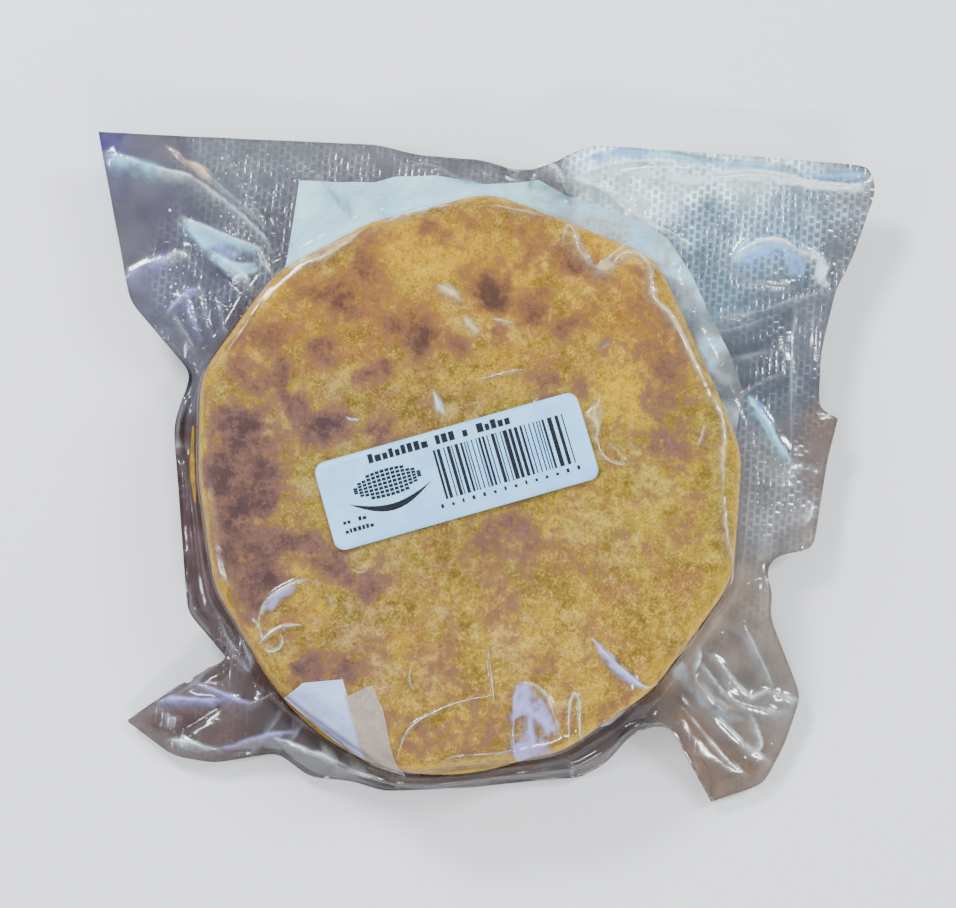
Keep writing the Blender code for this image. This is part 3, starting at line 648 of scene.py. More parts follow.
def film_surface(upper):
    """Grid of points, rings by stations, from the cut edge in to the middle of one film."""
    edge, angles = film_stations()
    rim, out = cake_rim(angles, (0.0, 0.0) if upper else LOWER_CAKE_SHIFT)
    top_rim, _ = cake_rim(angles)
    gap = np.linalg.norm(edge[:, :2] - top_rim, axis=1) - FILM_STANDOFF
    foot_width = np.minimum(FOOT_WIDTH, FOOT_SHARE * gap)
    foot = top_rim + out * (FILM_STANDOFF + foot_width)[:, None]
    foot_height = FLANGE_HEIGHT + (edge[:, 2] - FLANGE_HEIGHT) * np.exp(-gap / LEVEL_REACH)
    rows = flange_rows(edge, foot, foot_height, angles, UPPER_FLANGE_ROWS if upper else 62)
    wall_top = STACK_HEIGHT - TOP_SHOULDER if upper else 0.0
    shoulder = TOP_SHOULDER if upper else UNDER_SHOULDER
    for share in np.linspace(0, 1, FOOT_ROWS)[1:]:
        turn = math.pi / 2 * share
        if upper:
            width = FILM_STANDOFF + foot_width * (1 - math.sin(turn))
            height = foot_height + (wall_top - foot_height) * (1 - math.cos(turn))
            points = rim + out * width[:, None]
        else:
            points = rim + out * (FILM_STANDOFF - shoulder * (1 - math.cos(turn)))
            height = foot_height * (1 - math.sin(turn)) + 0.2 * MM * math.sin(turn)
        rows.append(np.column_stack([points, height]))
    if upper:
        for share in np.linspace(0, 1, 17)[1:]:
            turn = math.pi / 2 * share
            points = rim + out * (FILM_STANDOFF - shoulder * (1 - math.cos(turn)))
            height = np.full(len(rim), STACK_HEIGHT - shoulder * (1 - math.sin(turn)))
            rows.append(np.column_stack([points, height]))
    inner = rows[-1][:, :2]
    shares = [*np.linspace(1, 0.55, 52), *np.linspace(0.54, 0.01, 26)] if upper else np.linspace(1, 0.02, 20)
    for share in shares[1:]:
        points = np.array(CAKE_CENTRE) + (inner - CAKE_CENTRE) * share
        rows.append(np.column_stack([points, np.full(len(rim), rows[-1][0, 2])]))
    return np.array(rows)


def surface_normals(grid):
    along = np.roll(grid, -1, axis=1) - np.roll(grid, 1, axis=1)
    inward = np.gradient(grid, axis=0)
    normal = np.cross(along, inward)
    return normal / np.maximum(np.linalg.norm(normal, axis=2, keepdims=True), 1e-12)


def on_the_stack(grid, outer=5.0 * MM, inner=0.5 * MM):
    """1 over the cakes, 0 out on the flange, changing between two distances out of the rim."""
    x, y = grid[..., 0] - CAKE_CENTRE[0], grid[..., 1] - CAKE_CENTRE[1]
    rim, _ = cake_rim(np.arctan2(y, x).ravel())
    radius = np.hypot(*(rim - CAKE_CENTRE).T).reshape(x.shape)
    return smooth_step(outer, inner, np.hypot(x, y) - radius)


FLANGE_PLEATS = FLANGE_CREASES + tuple(random_pleats(70, 5))


def creased_film(upper):
    """One film with its creases: points, normals, haze, tone and share over the cakes."""
    grid = film_surface(upper)
    x, y = grid[..., 0], grid[..., 1]
    stack = on_the_stack(grid)
    rise, white, crease_tone = crease_effects(x, y, FLANGE_PLEATS, FLANGE_FACETS if upper else ())
    rise = (rise + 0.45 * MM * layered_noise(x, y, 13 * MM, 31, 3)) * (1 - stack)
    normal = surface_normals(grid)
    cloud = layered_noise(x, y, 16 * MM, 71, 3)
    if upper:
        over = smooth_step(STACK_HEIGHT - 6 * MM, STACK_HEIGHT - 2 * MM, grid[..., 2])
        fold, top_white, top_tone = crease_effects(x, y, TOP_CREASES, TOP_FACETS)
        fold += top_sway(x, y) + 0.10 * MM * layered_noise(x, y, 6 * MM, 41, 2)
        moved = grid + normal * (rise + fold * over)[..., None]
        white, top_white = white * (1 - over), top_white * over
        haze = (FRONT_HAZE + 0.05 * cloud) * (1 - stack)
        # The painted highlights of creases and facets thicken the haze as well.
        haze = haze + (1 - haze) * (white * 0.85 + top_white * 0.8)
        # Haze round the stack: a thin veil on the wall, which the tone below darkens into a painted dark contour; on
        # the wall's low side and at the left and right feet, painted light over the shade seen through the clear film.
        wall = smooth_step(14 * MM, 19 * MM, grid[..., 2]) * smooth_step(28 * MM, 25 * MM, grid[..., 2]) * stack
        foot = smooth_step(6 * MM, 10 * MM, grid[..., 2]) * smooth_step(21 * MM, 14 * MM, grid[..., 2])
        left_foot = foot * smooth_step(-60 * MM, -74 * MM, x) * smooth_step(62 * MM, 30 * MM, y)
        left_foot = left_foot * smooth_step(-58 * MM, -26 * MM, y)
        right_foot = foot * smooth_step(15 * MM, 45 * MM, x) * smooth_step(-10 * MM, -34 * MM, y)
        right_foot = right_foot * on_the_stack(grid, 9 * MM, 3 * MM)
        low_wall = wall * smooth_step(-15 * MM, -45 * MM, y) * (1 - left_foot)
        wall_haze = np.maximum(0.10 * wall + 0.25 * low_wall, 0.55 * right_foot)
        haze = haze + (1 - haze) * np.maximum(wall_haze, 0.85 * left_foot)
        share = np.clip(top_white * 4, 0, 1)[..., None]
        crease_tone = crease_tone * (1 - share) + top_tone * share
        white = np.maximum(white, top_white)
    else:
        edge_gap = FILM_GAP * (0.4 + 0.6 * smooth_step(0.0, 0.12, np.linspace(0, 1, len(grid))))[:, None]
        moved = grid + normal * rise[..., None]
        moved[..., 2] -= edge_gap * (1 - stack)
        moved[..., 2] = np.maximum(moved[..., 2], 0.2 * MM)
        under = on_the_stack(grid, -3 * MM, -8 * MM)
        haze = (BACK_HAZE + 0.08 * cloud) * (1 - under) + 0.15 * under
        # Painted highlights of the creases thicken the back film's haze too.
        haze = haze + (1 - haze) * white * 0.5
    # The film's tone by place holds painted reflections; the crease tones lay painted highlights and shade over it.
    tone = film_tone(x.ravel(), y.ravel()).reshape(crease_tone.shape)
    mottle = layered_noise(x, y, 5 * MM, 75, 3)
    tone = tone * (1 + 0.22 * cloud + 0.45 * mottle)[..., None]
    share = np.clip(white * 1.6, 0, 1)[..., None]
    tone = tone * (1 - share) + crease_tone * share
    margin = smooth_step(1.6 * MM, 0.2 * MM, np.linalg.norm(grid - grid[:1], axis=2))
    tone = tone * (1 - 0.3 * margin[..., None])
    # Painted shade and light in the wall's tone: darker along the wall, except at the left foot, for a dark contour
    # round the cake, and lighter on its low side.
    if upper:
        tone = tone * (1 - 0.5 * np.clip(wall - left_foot, 0, 1) + 1.2 * low_wall)[..., None]
    return moved, surface_normals(moved), np.clip(haze, 0, 0.97), tone, stack


def film_piece(name, film, rows, closed, upper, material):
    """Rings `rows` of a film as a piece, keeping the normals of the whole film at its seam."""
    grid, normal, haze, tone, stack = [layer[rows] for layer in film]
    stations = grid.shape[1]
    vertices = grid.reshape(-1, 3)
    normals = normal.reshape(-1, 3) if upper else -normal.reshape(-1, 3)
    faces = grid_faces(len(grid), stations, flip=not upper).tolist()
    if closed:
        vertices = np.vstack([vertices, grid[-1].mean(axis=0)])
        normals = np.vstack([normals, [0, 0, 1 if upper else -1]])
        last = (len(grid) - 1) * stations
        for i in range(stations):
            corner = [last + i, last + (i + 1) % stations, len(vertices) - 1]
            faces.append(corner if upper else corner[::-1])
    piece = new_piece(name, vertices, faces, material)
    piece.data.normals_split_custom_set_from_vertices(normals.tolist())

    def spread(layer):
        flat = layer.reshape(grid.shape[0] * stations, -1)
        return np.vstack([flat, flat[-stations:].mean(axis=0)]) if closed else flat

    store(piece, "over_cake", spread(stack))
    store(piece, "haze", spread(haze))
    store_colour(piece, "tone", spread(tone))
    shown, sparkle = embossing(vertices[:, 0], vertices[:, 1])
    store(piece, "embossed", shown)
    store(piece, "sparkle", sparkle)
    return piece


# Tones of the film place by place: painted reflections, bright and silver at the far right, and the violets, greys and
# browns of the surroundings elsewhere.
TONE_PLACES = (
    ("violet", -108, 102), ("violet", -109, 96), ("dusk", -102, 85), ("dusk", -92, 100), ("steel", -70, 95), ("steel", -58, 92),
    ("lilac", -80, 60), ("dusk", -98, 70), ("lilac", -95, 56), ("smoke", -60, 75), ("smoke", -30, 97),
    ("smoke", 0, 94), ("smoke", 18, 92), ("bright", 42, 95), ("bright", 60, 91), ("bright", 75, 93),
    ("bright", 52, 84), ("silver", 70, 80), ("bright", 90, 93), ("silver", 95, 86), ("steel", 117, 92),
    ("silver", 90, 72), ("steel", 112, 68), ("slate", 104, 57), ("silver", 62, 72), ("silver", 72, 56),
    ("slate", 97, 45), ("slate", 80, 40), ("slate", 90, 28), ("ash", 88, 0), ("ash", 82, -14),
    ("ash", 92, -6), ("rust", 105, 15), ("rust", 101, 2), ("clay", 97, -14), ("sand", 82, -28), ("sand", 80, -42),
    ("clay", 82, -52), ("clay", 90, -62), ("clay", 70, -62), ("warm", 80, -82), ("warm", 62, -70),
    ("warm", 72, -84), ("soot", 45, -68), ("umber", 35, -82), ("umber", 10, -84), ("umber", -20, -84),
    ("umber", -45, -78), ("umber", -56, -68), ("mink", -85, -70), ("mink", -95, -67), ("mink", -80, -60), ("mink", -70, -66),
    ("umber", -82, -8), ("umber", -84, 12), ("smoke", -82, 30), ("umber", -66, -45), ("umber", -79, -28),
)


def film_tone(x, y):
    """Colour of the film, with its painted reflections, drifting between the tones of the nearest named places."""
    total, weights = np.zeros((len(x), 3)), np.zeros(len(x))
    for tone, px, py in TONE_PLACES:
        weight = 1 / ((x / MM - px) ** 2 + (y / MM - py) ** 2 + 16.0) ** 2
        total += weight[:, None] * np.array(FILM_TONES[tone])
        weights += weight
    return total / weights[:, None]


# Where the embossing shows more or less strongly: share, place and reach (mm).
EMBOSS_PLACES = (
    (0.15, -90, 85, 12), (1.1, -72, 70, 4), (0.30, -72, 97, 10), (0.7, -83, 76, 4), (0.7, -86, 62, 6), (0.4, -76, 84, 6),
    (0.6, -66, 80, 6), (0.7, -66, 63, 7), (0.6, -80, 54, 8), (0.6, -52, 93, 8), (0.6, -36, 94, 8),
    (0.4, -15, 96, 12), (0.4, 10, 93, 10), (0.9, 45, 90, 12), (1.0, 75, 82, 14), (1.0, 98, 76, 12),
    (1.0, 110, 74, 6), (0.7, 70, 62, 8), (0.4, 85, 47, 10), (0.7, 92, 36, 5), (0.7, 101, 45, 6),
    (0.7, 88, 6, 8), (0.6, 88, -8, 8), (0.2, 96, 12, 8), (0.15, 84, -25, 8), (0.06, 80, -62, 14),
    (0.1, -78, -64, 8), (0.2, -80, -72, 5), (0.8, -68, -44, 5), (0.1, -40, -78, 14), (0.1, -82, 0, 16),
    (0.5, -82, 44, 7), (0.05, 20, -85, 20),
)
# Where small glints are painted into the embossing, given the same way.
GLINT_PLACES = (
    (0.9, -82, 75.5, 4), (0.9, -68, 68.5, 4), (0.7, -86, 65, 3), (0.9, -69, 77, 3.5), (0.9, -63, 74, 3), (0.9, -50, 91.5, 4),
    (0.8, -41, 91, 3), (0.9, -86, 56, 3.5), (0.6, -80, 51, 4), (0.7, -76, 56, 4), (0.6, -66, 61, 4),
    (0.3, -72, 99, 6), (0.5, 57, 80, 9), (0.4, 80, 84, 10), (0.9, 112, 74, 4.5), (0.7, 88, 39, 4),
    (0.8, 90, 4, 5), (0.6, 88, -7, 5), (1.0, -70, -41, 2.5), (1.0, -67.5, -48, 2), (0.6, -82, -71, 2.5),
    (0.5, -73, -67, 3), (0.3, 84, -78, 4), (0.5, 100, 62, 4),
)


def embossing(x, y):
    """How strongly the back film's embossing shows, best where the film lies slack, and where its painted glints sit.
    """
    x, y = x / MM, y / MM
    shown, glints, weights = np.zeros(len(x)), np.zeros(len(x)), np.full(len(x), 1e-9)
    for share, px, py, reach in EMBOSS_PLACES:
        weight = 1 / (((x - px) ** 2 + (y - py) ** 2) / reach**2 + 0.1) ** 2
        shown += weight * share
        weights += weight
    for share, px, py, reach in GLINT_PLACES:
        glints += share * np.exp(-((x - px) ** 2 + (y - py) ** 2) / reach**2)
    plain_margin = smooth_step(-97, -90, x)
    uneven = 0.75 + 0.9 * layered_noise(x, y, 5, 51, 2)
    return np.clip(shown / weights * plain_margin * uneven, 0, 1.2), np.clip(glints * plain_margin, 0, 1)


# ---------------------------------------------------------------- building materials


class Nodes:
    """A material's or a group's node tree, with short ways to add and join nodes."""

    def __init__(self, tree):
        self.tree = tree

    def add(self, kind, inputs=None, **settings):
        node = self.tree.nodes.new(kind)
        for name, value in settings.items():
            setattr(node, name, value)
        for name, value in (inputs or {}).items():
            self.feed(node.inputs[name], value)
        return node

    def feed(self, socket, value):
        if isinstance(value, bpy.types.NodeSocket):
            self.tree.links.new(value, socket)
        else:
            socket.default_value = value

    def maths(self, operation, *values, clamp=False):
        node = self.add("ShaderNodeMath", operation=operation, use_clamp=clamp)
        for socket, value in zip(node.inputs, values):
            self.feed(socket, value)
        return node.outputs[0]

    def blend(self, share, low, high, mode="MIX"):
        node = self.add("ShaderNodeMix", data_type="RGBA", blend_type=mode)
        self.feed(node.inputs[0], share)
        self.feed(node.inputs[6], low)
        self.feed(node.inputs[7], high)
        return node.outputs[2]

    def span(self, value, low, high, to_low=0.0, to_high=1.0, smooth=True):
        kind = "SMOOTHSTEP" if smooth else "LINEAR"
        node = self.add("ShaderNodeMapRange", interpolation_type=kind)
        for socket, number in zip(node.inputs, (value, low, high, to_low, to_high)):
            self.feed(socket, number)
        return node.outputs[0]

    def place(self):
        return self.add("ShaderNodeTexCoord").outputs["Object"]

    def noise(self, vector, size, detail=3.0, roughness=0.55, distortion=0.0):
        node = self.add("ShaderNodeTexNoise", {"Vector": vector, "Scale": 1.0 / size})
        node.inputs["Detail"].default_value = detail
        node.inputs["Roughness"].default_value = roughness
        node.inputs["Distortion"].default_value = distortion
        return node.outputs["Fac"]

    def attribute(self, name):
        return self.add("ShaderNodeAttribute", attribute_name=name)

    def bump(self, height, strength, distance, normal=None):
        node = self.add("ShaderNodeBump", {"Height": height, "Strength": strength, "Distance": distance})
        if normal:
            self.feed(node.inputs["Normal"], normal)
        return node.outputs["Normal"]


def new_material(name):
    material = bpy.data.materials.new(name)
    material.use_nodes = True
    material.node_tree.nodes.clear()
    return material, Nodes(material.node_tree)


def colour(red, green, blue):
    return (red, green, blue, 1.0)


def emboss_group():
    """Staggered oblong pits of the back film: raised walls, a chance of its own for each, and a dot in it for a painted
    glint.
    """
    group = bpy.data.node_groups.new("film_embossing", "ShaderNodeTree")
    for name in ("Width", "Length", "Turn"):
        group.interface.new_socket(name, in_out="INPUT", socket_type="NodeSocketFloat")
    for name in ("Walls", "Chance", "Dot"):
        group.interface.new_socket(name, in_out="OUTPUT", socket_type="NodeSocketFloat")
    n = Nodes(group)
    given = n.add("NodeGroupInput")
    result = n.add("NodeGroupOutput")
    turned = n.add("ShaderNodeVectorRotate", {"Vector": n.place(), "Angle": given.outputs["Turn"]}, rotation_type="Z_AXIS")
    split = n.add("ShaderNodeSeparateXYZ", {0: turned.outputs[0]})
    across = n.maths("DIVIDE", split.outputs["X"], given.outputs["Width"])
    column = n.maths("FLOOR", across)
    stagger = n.maths("MULTIPLY", n.maths("FLOORED_MODULO", column, 2.0), 0.5)
    along = n.maths("ADD", n.maths("DIVIDE", split.outputs["Y"], given.outputs["Length"]), stagger)
    side = n.maths("SUBTRACT", n.maths("FRACT", across), 0.5)
    end = n.maths("SUBTRACT", n.maths("FRACT", along), 0.5)
    bowl = n.maths("MAXIMUM", n.maths("MULTIPLY", n.maths("MULTIPLY", side, side), 6.2),
                   n.maths("MULTIPLY", n.maths("MULTIPLY", end, end), 5.4))
    n.feed(result.inputs["Walls"], n.maths("SUBTRACT", n.maths("MULTIPLY", bowl, 1.5), 0.5, clamp=True))
    cell = n.add("ShaderNodeCombineXYZ", {"X": column, "Y": n.maths("FLOOR", along)})
    chance = n.add("ShaderNodeTexWhiteNoise", {"Vector": cell.outputs[0]}, noise_dimensions="2D")
    n.feed(result.inputs["Chance"], chance.outputs["Value"])
    luck = n.add("ShaderNodeSeparateColor", {"Color": chance.outputs["Color"]})
    side = n.maths("ADD", side, n.maths("MULTIPLY_ADD", luck.outputs[1], 0.7, -0.35))
    end = n.maths("ADD", end, n.maths("MULTIPLY_ADD", luck.outputs[2], 0.5, -0.05))
    round_dot = n.maths("ADD", n.maths("MULTIPLY", n.maths("MULTIPLY", side, side), 40.0),
                        n.maths("MULTIPLY", n.maths("MULTIPLY", end, end), 60.0))
    round_dot = n.maths("MULTIPLY", round_dot, n.maths("MULTIPLY_ADD", luck.outputs[2], 2.6, 0.5))
    n.feed(result.inputs["Dot"], n.maths("SUBTRACT", 1.0, round_dot, clamp=True))
    return group


EMBOSS = emboss_group()


def film_material(name, emboss_height, emboss_contrast, gloss_roughness, least_gloss):
    """Clear film: toned haze where it is creased or lies on the other film, and a gloss over it; the tone carries
    painted highlights, reflections and shade, and the embossing painted shade and glints.
    """
    material, n = new_material(name)
    tone = n.attribute("tone").outputs["Color"]
    haze = n.attribute("haze").outputs["Fac"]
    over = n.attribute("over_cake").outputs["Fac"]
    pits = n.add("ShaderNodeGroup", node_tree=EMBOSS)
    pits.inputs["Width"].default_value = 1.91 * MM
    pits.inputs["Length"].default_value = 2.65 * MM
    pits.inputs["Turn"].default_value = math.radians(5.0)
    chance = pits.outputs["Chance"]
    shown = n.maths("MULTIPLY", n.attribute("embossed").outputs["Fac"], n.span(over, 0.3, 0.9, 1.0, 0.05))
    uneven = n.maths("MULTIPLY", pits.outputs["Walls"], n.maths("MULTIPLY_ADD", chance, 1.1, 0.35))
    pattern = n.maths("MULTIPLY", uneven, shown)
    normal = n.bump(pattern, 1.0, emboss_height)

    # Painted shade and highlight of the embossing: the tone darker in the pits and lighter on the walls.
    shade = n.maths("MULTIPLY_ADD", pattern, emboss_contrast, 1 - 0.42 * emboss_contrast)
    patterned = n.add("ShaderNodeVectorMath", operation="SCALE")
    n.feed(patterned.inputs[0], tone)
    n.feed(patterned.inputs["Scale"], shade)
    # Painted glints: the dot in some pits turned near white.
    lucky = n.maths("LESS_THAN", chance, n.attribute("sparkle").outputs["Fac"])
    glint = n.maths("MULTIPLY", n.maths("MULTIPLY", pits.outputs["Dot"], lucky), 2.0 * emboss_contrast, clamp=True)
    glinting = n.blend(glint, patterned.outputs[0], colour(0.92, 0.97, 1.0))
    body = n.add("ShaderNodeBsdfDiffuse", {"Color": glinting, "Normal": normal})
    clear = n.add("ShaderNodeBsdfTransparent")
    sheet = n.add("ShaderNodeMixShader", {0: haze, 1: clear.outputs[0], 2: body.outputs[0]})
    gloss = n.add("ShaderNodeBsdfGlossy", {"Color": colour(0.96, 0.98, 1.0), "Normal": normal})
    gloss.inputs["Roughness"].default_value = gloss_roughness
    slant = n.add("ShaderNodeLayerWeight", {"Blend": 0.5, "Normal": normal})
    mirror = n.maths("MULTIPLY_ADD", n.maths("POWER", slant.outputs["Facing"], 4.0), 0.22, least_gloss)
    coated = n.add("ShaderNodeMixShader", {0: mirror, 1: sheet.outputs[0], 2: gloss.outputs[0]})
    n.add("ShaderNodeOutputMaterial", {"Surface": coated.outputs[0]})
    return material


def ridge_material():
    """Pinched film along a crease: pale in a painted highlight tone, a little see-through and glossy."""
    material, n = new_material("film_ridge")
    tone = n.attribute("tone").outputs["Color"]
    body = n.add("ShaderNodeBsdfDiffuse", {"Color": tone})
    clear = n.add("ShaderNodeBsdfTransparent")
    sheet = n.add("ShaderNodeMixShader", {0: n.attribute("haze").outputs["Fac"], 1: clear.outputs[0], 2: body.outputs[0]})
    gloss = n.add("ShaderNodeBsdfGlossy", {"Color": colour(1.0, 1.0, 1.0), "Roughness": 0.12})
    slant = n.add("ShaderNodeLayerWeight", {"Blend": 0.5})
    mirror = n.maths("MULTIPLY_ADD", slant.outputs["Facing"], 0.3, 0.15)
    coated = n.add("ShaderNodeMixShader", {0: mirror, 1: sheet.outputs[0], 2: gloss.outputs[0]})
    n.add("ShaderNodeOutputMaterial", {"Surface": coated.outputs[0]})
    return material


def cake_material(name):
    """Griddled corn dough: yellow-gold crumb clouded with rose and olive, mauve toast and dark specks."""
    material, n = new_material(name)
    place = n.place()
    toast = n.attribute("toast").outputs["Fac"]
    yolk = n.attribute("yolk").outputs["Fac"]
    cloud = n.add("ShaderNodeTexNoise", {"Vector": place, "Scale": 1 / (9 * MM), "Detail": 4.0, "Roughness": 0.6})
    drift = n.add("ShaderNodeSeparateColor", {"Color": cloud.outputs["Color"]})
    ragged = n.noise(place, 3.4 * MM, 6.0, 0.72)
    middle = n.noise(place, 3.0 * MM, 7.0, 0.80)
    fine = n.noise(place, 0.75 * MM, 2.0, 0.6)

    crumb = n.blend(n.span(drift.outputs[0], 0.40, 0.60), colour(0.153, 0.099, 0.005), colour(0.262, 0.175, 0.012))
    rosy = n.maths("SUBTRACT", n.span(drift.outputs[1], 0.46, 0.64), n.maths("MULTIPLY", yolk, 0.8), clamp=True)
    crumb = n.blend(n.maths("MULTIPLY", rosy, 0.80), crumb, colour(0.238, 0.113, 0.034))
    creamy = n.span(drift.outputs[2], 0.50, 0.68, 0.0, 0.65)
    crumb = n.blend(creamy, crumb, colour(0.40, 0.290, 0.085))
    ripe = n.maths("ADD", yolk, n.maths("MULTIPLY", n.maths("SUBTRACT", ragged, 0.5), 2.4))
    crumb = n.blend(n.span(ripe, 0.10, 0.75, 0.0, 0.92), crumb, colour(0.405, 0.258, 0.001))
    # The crumb's speckle, with painted shade where the bump further down has its pits and a painted highlight on its
    # crests.
    speckle_and_relief_shade = n.maths("MULTIPLY_ADD", n.maths("SUBTRACT", fine, 0.5), 0.35, middle)
    crumb = n.blend(n.span(speckle_and_relief_shade, 0.36, 0.50), n.blend(1.0, crumb, colour(0.68, 0.59, 0.46), "MULTIPLY"), crumb)
    crumb = n.blend(n.span(speckle_and_relief_shade, 0.50, 0.66, 0.0, 0.60), crumb, colour(0.50, 0.345, 0.075))

    split = n.add("ShaderNodeSeparateXYZ", {0: place})
    # Painted light: the crumb lighter and yellower towards the right.
    sunny = n.span(n.maths("MULTIPLY_ADD", split.outputs["Y"], -0.35, split.outputs["X"]), -20 * MM, 60 * MM)
    crumb = n.blend(sunny, crumb, n.blend(1.0, crumb, colour(1.20, 1.20, 0.72), "MULTIPLY"))
    # Lighter and bluer towards the front.
    toward_front = n.span(split.outputs["Y"], -15 * MM, -50 * MM)
    crumb = n.blend(toward_front, crumb, n.blend(1.0, crumb, colour(1.14, 1.07, 1.30), "MULTIPLY"))
    # Painted light and shade on the rim: yellower where the light from the right falls, darker on the other side.
    rim = n.span(yolk, 0.7, 1.1)
    sunlit_rim = n.maths("MULTIPLY", rim, sunny)
    crumb = n.blend(sunlit_rim, crumb, n.blend(1.0, crumb, colour(1.14, 1.12, 0.45), "MULTIPLY"))
    shaded = n.maths("SUBTRACT", rim, sunlit_rim)
    crumb = n.blend(shaded, crumb, n.blend(1.0, crumb, colour(0.74, 0.66, 0.60), "MULTIPLY"))

    brown = n.maths("MULTIPLY_ADD", n.maths("SUBTRACT", ragged, 0.5), 2.9, toast)
    brown = n.maths("MULTIPLY_ADD", n.maths("SUBTRACT", middle, 0.5), 1.1, brown)
    brown = n.maths("MULTIPLY_ADD", n.maths("SUBTRACT", drift.outputs[1], 0.5), 1.3, brown)
    baked = n.blend(n.span(brown, 0.04, 0.50, 0.0, 0.86), crumb, colour(0.198, 0.091, 0.033))
    mauve = n.blend(n.span(middle, 0.38, 0.58), colour(0.050, 0.023, 0.024), colour(0.143, 0.067, 0.051))
    mauve = n.blend(n.span(ragged, 0.52, 0.66, 0.0, 0.6), mauve, colour(0.236, 0.130, 0.070))
    baked = n.blend(n.span(brown, 0.32, 0.88, 0.0, 0.92), baked, mauve)
    baked = n.blend(n.span(brown, 0.95, 1.5, 0.0, 0.8), baked, colour(0.036, 0.015, 0.017))
    rich = n.span(split.outputs["Y"], 15 * MM, 50 * MM)
    baked = n.blend(rich, baked, n.blend(1.0, baked, colour(1.27, 1.12, 0.55), "MULTIPLY"))

    cells = n.add("ShaderNodeTexVoronoi", {"Vector": place, "Scale": 1.0 / (1.5 * MM)})
    speck = n.span(cells.outputs["Distance"], 0.20, 0.08)
    speck = n.maths("MULTIPLY", speck, n.span(middle, 0.52, 0.42, 0.0, 0.45))
    baked = n.blend(speck, baked, colour(0.060, 0.036, 0.008))

    pits = n.maths("ADD", n.maths("MULTIPLY", middle, 0.7), n.maths("MULTIPLY", fine, 0.3))
    normal = n.bump(pits, 0.6, 0.6 * MM)
    shader = n.add("ShaderNodeBsdfPrincipled", {"Base Color": baked, "Normal": normal})
    n.feed(shader.inputs["Roughness"], n.span(fine, 0.3, 0.7, 0.45, 0.65))
    shader.inputs["Specular IOR Level"].default_value = 0.15
    n.add("ShaderNodeOutputMaterial", {"Surface": shader.outputs[0]})
    return material


def label_material():
    material, n = new_material("label_paper")
    place = n.place()
    cloud = n.noise(place, 7 * MM, 3.0)
    fibre = n.noise(place, 0.35 * MM, 3.0)
    tint = n.blend(n.span(cloud, 0.3, 0.7), colour(0.27, 0.58, 0.96), colour(0.34, 0.70, 1.0))
    normal = n.bump(n.maths("ADD", n.maths("MULTIPLY", cloud, 0.7), n.maths("MULTIPLY", fibre, 0.1)), 0.25, 0.4 * MM)
    shader = n.add("ShaderNodeBsdfPrincipled", {"Base Color": tint, "Normal": normal})
    n.feed(shader.inputs["Roughness"], n.span(fibre, 0.3, 0.7, 0.34, 0.44))
    n.add("ShaderNodeOutputMaterial", {"Surface": shader.outputs[0]})
    return material


def ink_material():
    material, n = new_material("thermal_ink")
    wear = n.noise(n.place(), 0.5 * MM, 3.0)
    tint = n.blend(n.span(wear, 0.35, 0.75), colour(0.008, 0.009, 0.013), colour(0.022, 0.023, 0.030))
    shader = n.add("ShaderNodeBsdfPrincipled", {"Base Color": tint})
    n.feed(shader.inputs["Roughness"], n.span(wear, 0.3, 0.7, 0.4, 0.5))
    shader.inputs["Specular IOR Level"].default_value = 0.2
    n.add("ShaderNodeOutputMaterial", {"Surface": shader.outputs[0]})
    return material


def floor_material():
    material, n = new_material("pale_floor")
    shader = n.add("ShaderNodeBsdfPrincipled", {"Base Color": colour(0.86, 0.86, 0.87)})
    shader.inputs["Roughness"].default_value = 0.7
    n.add("ShaderNodeOutputMaterial", {"Surface": shader.outputs[0]})
    return material


# ---------------------------------------------------------------- cakes


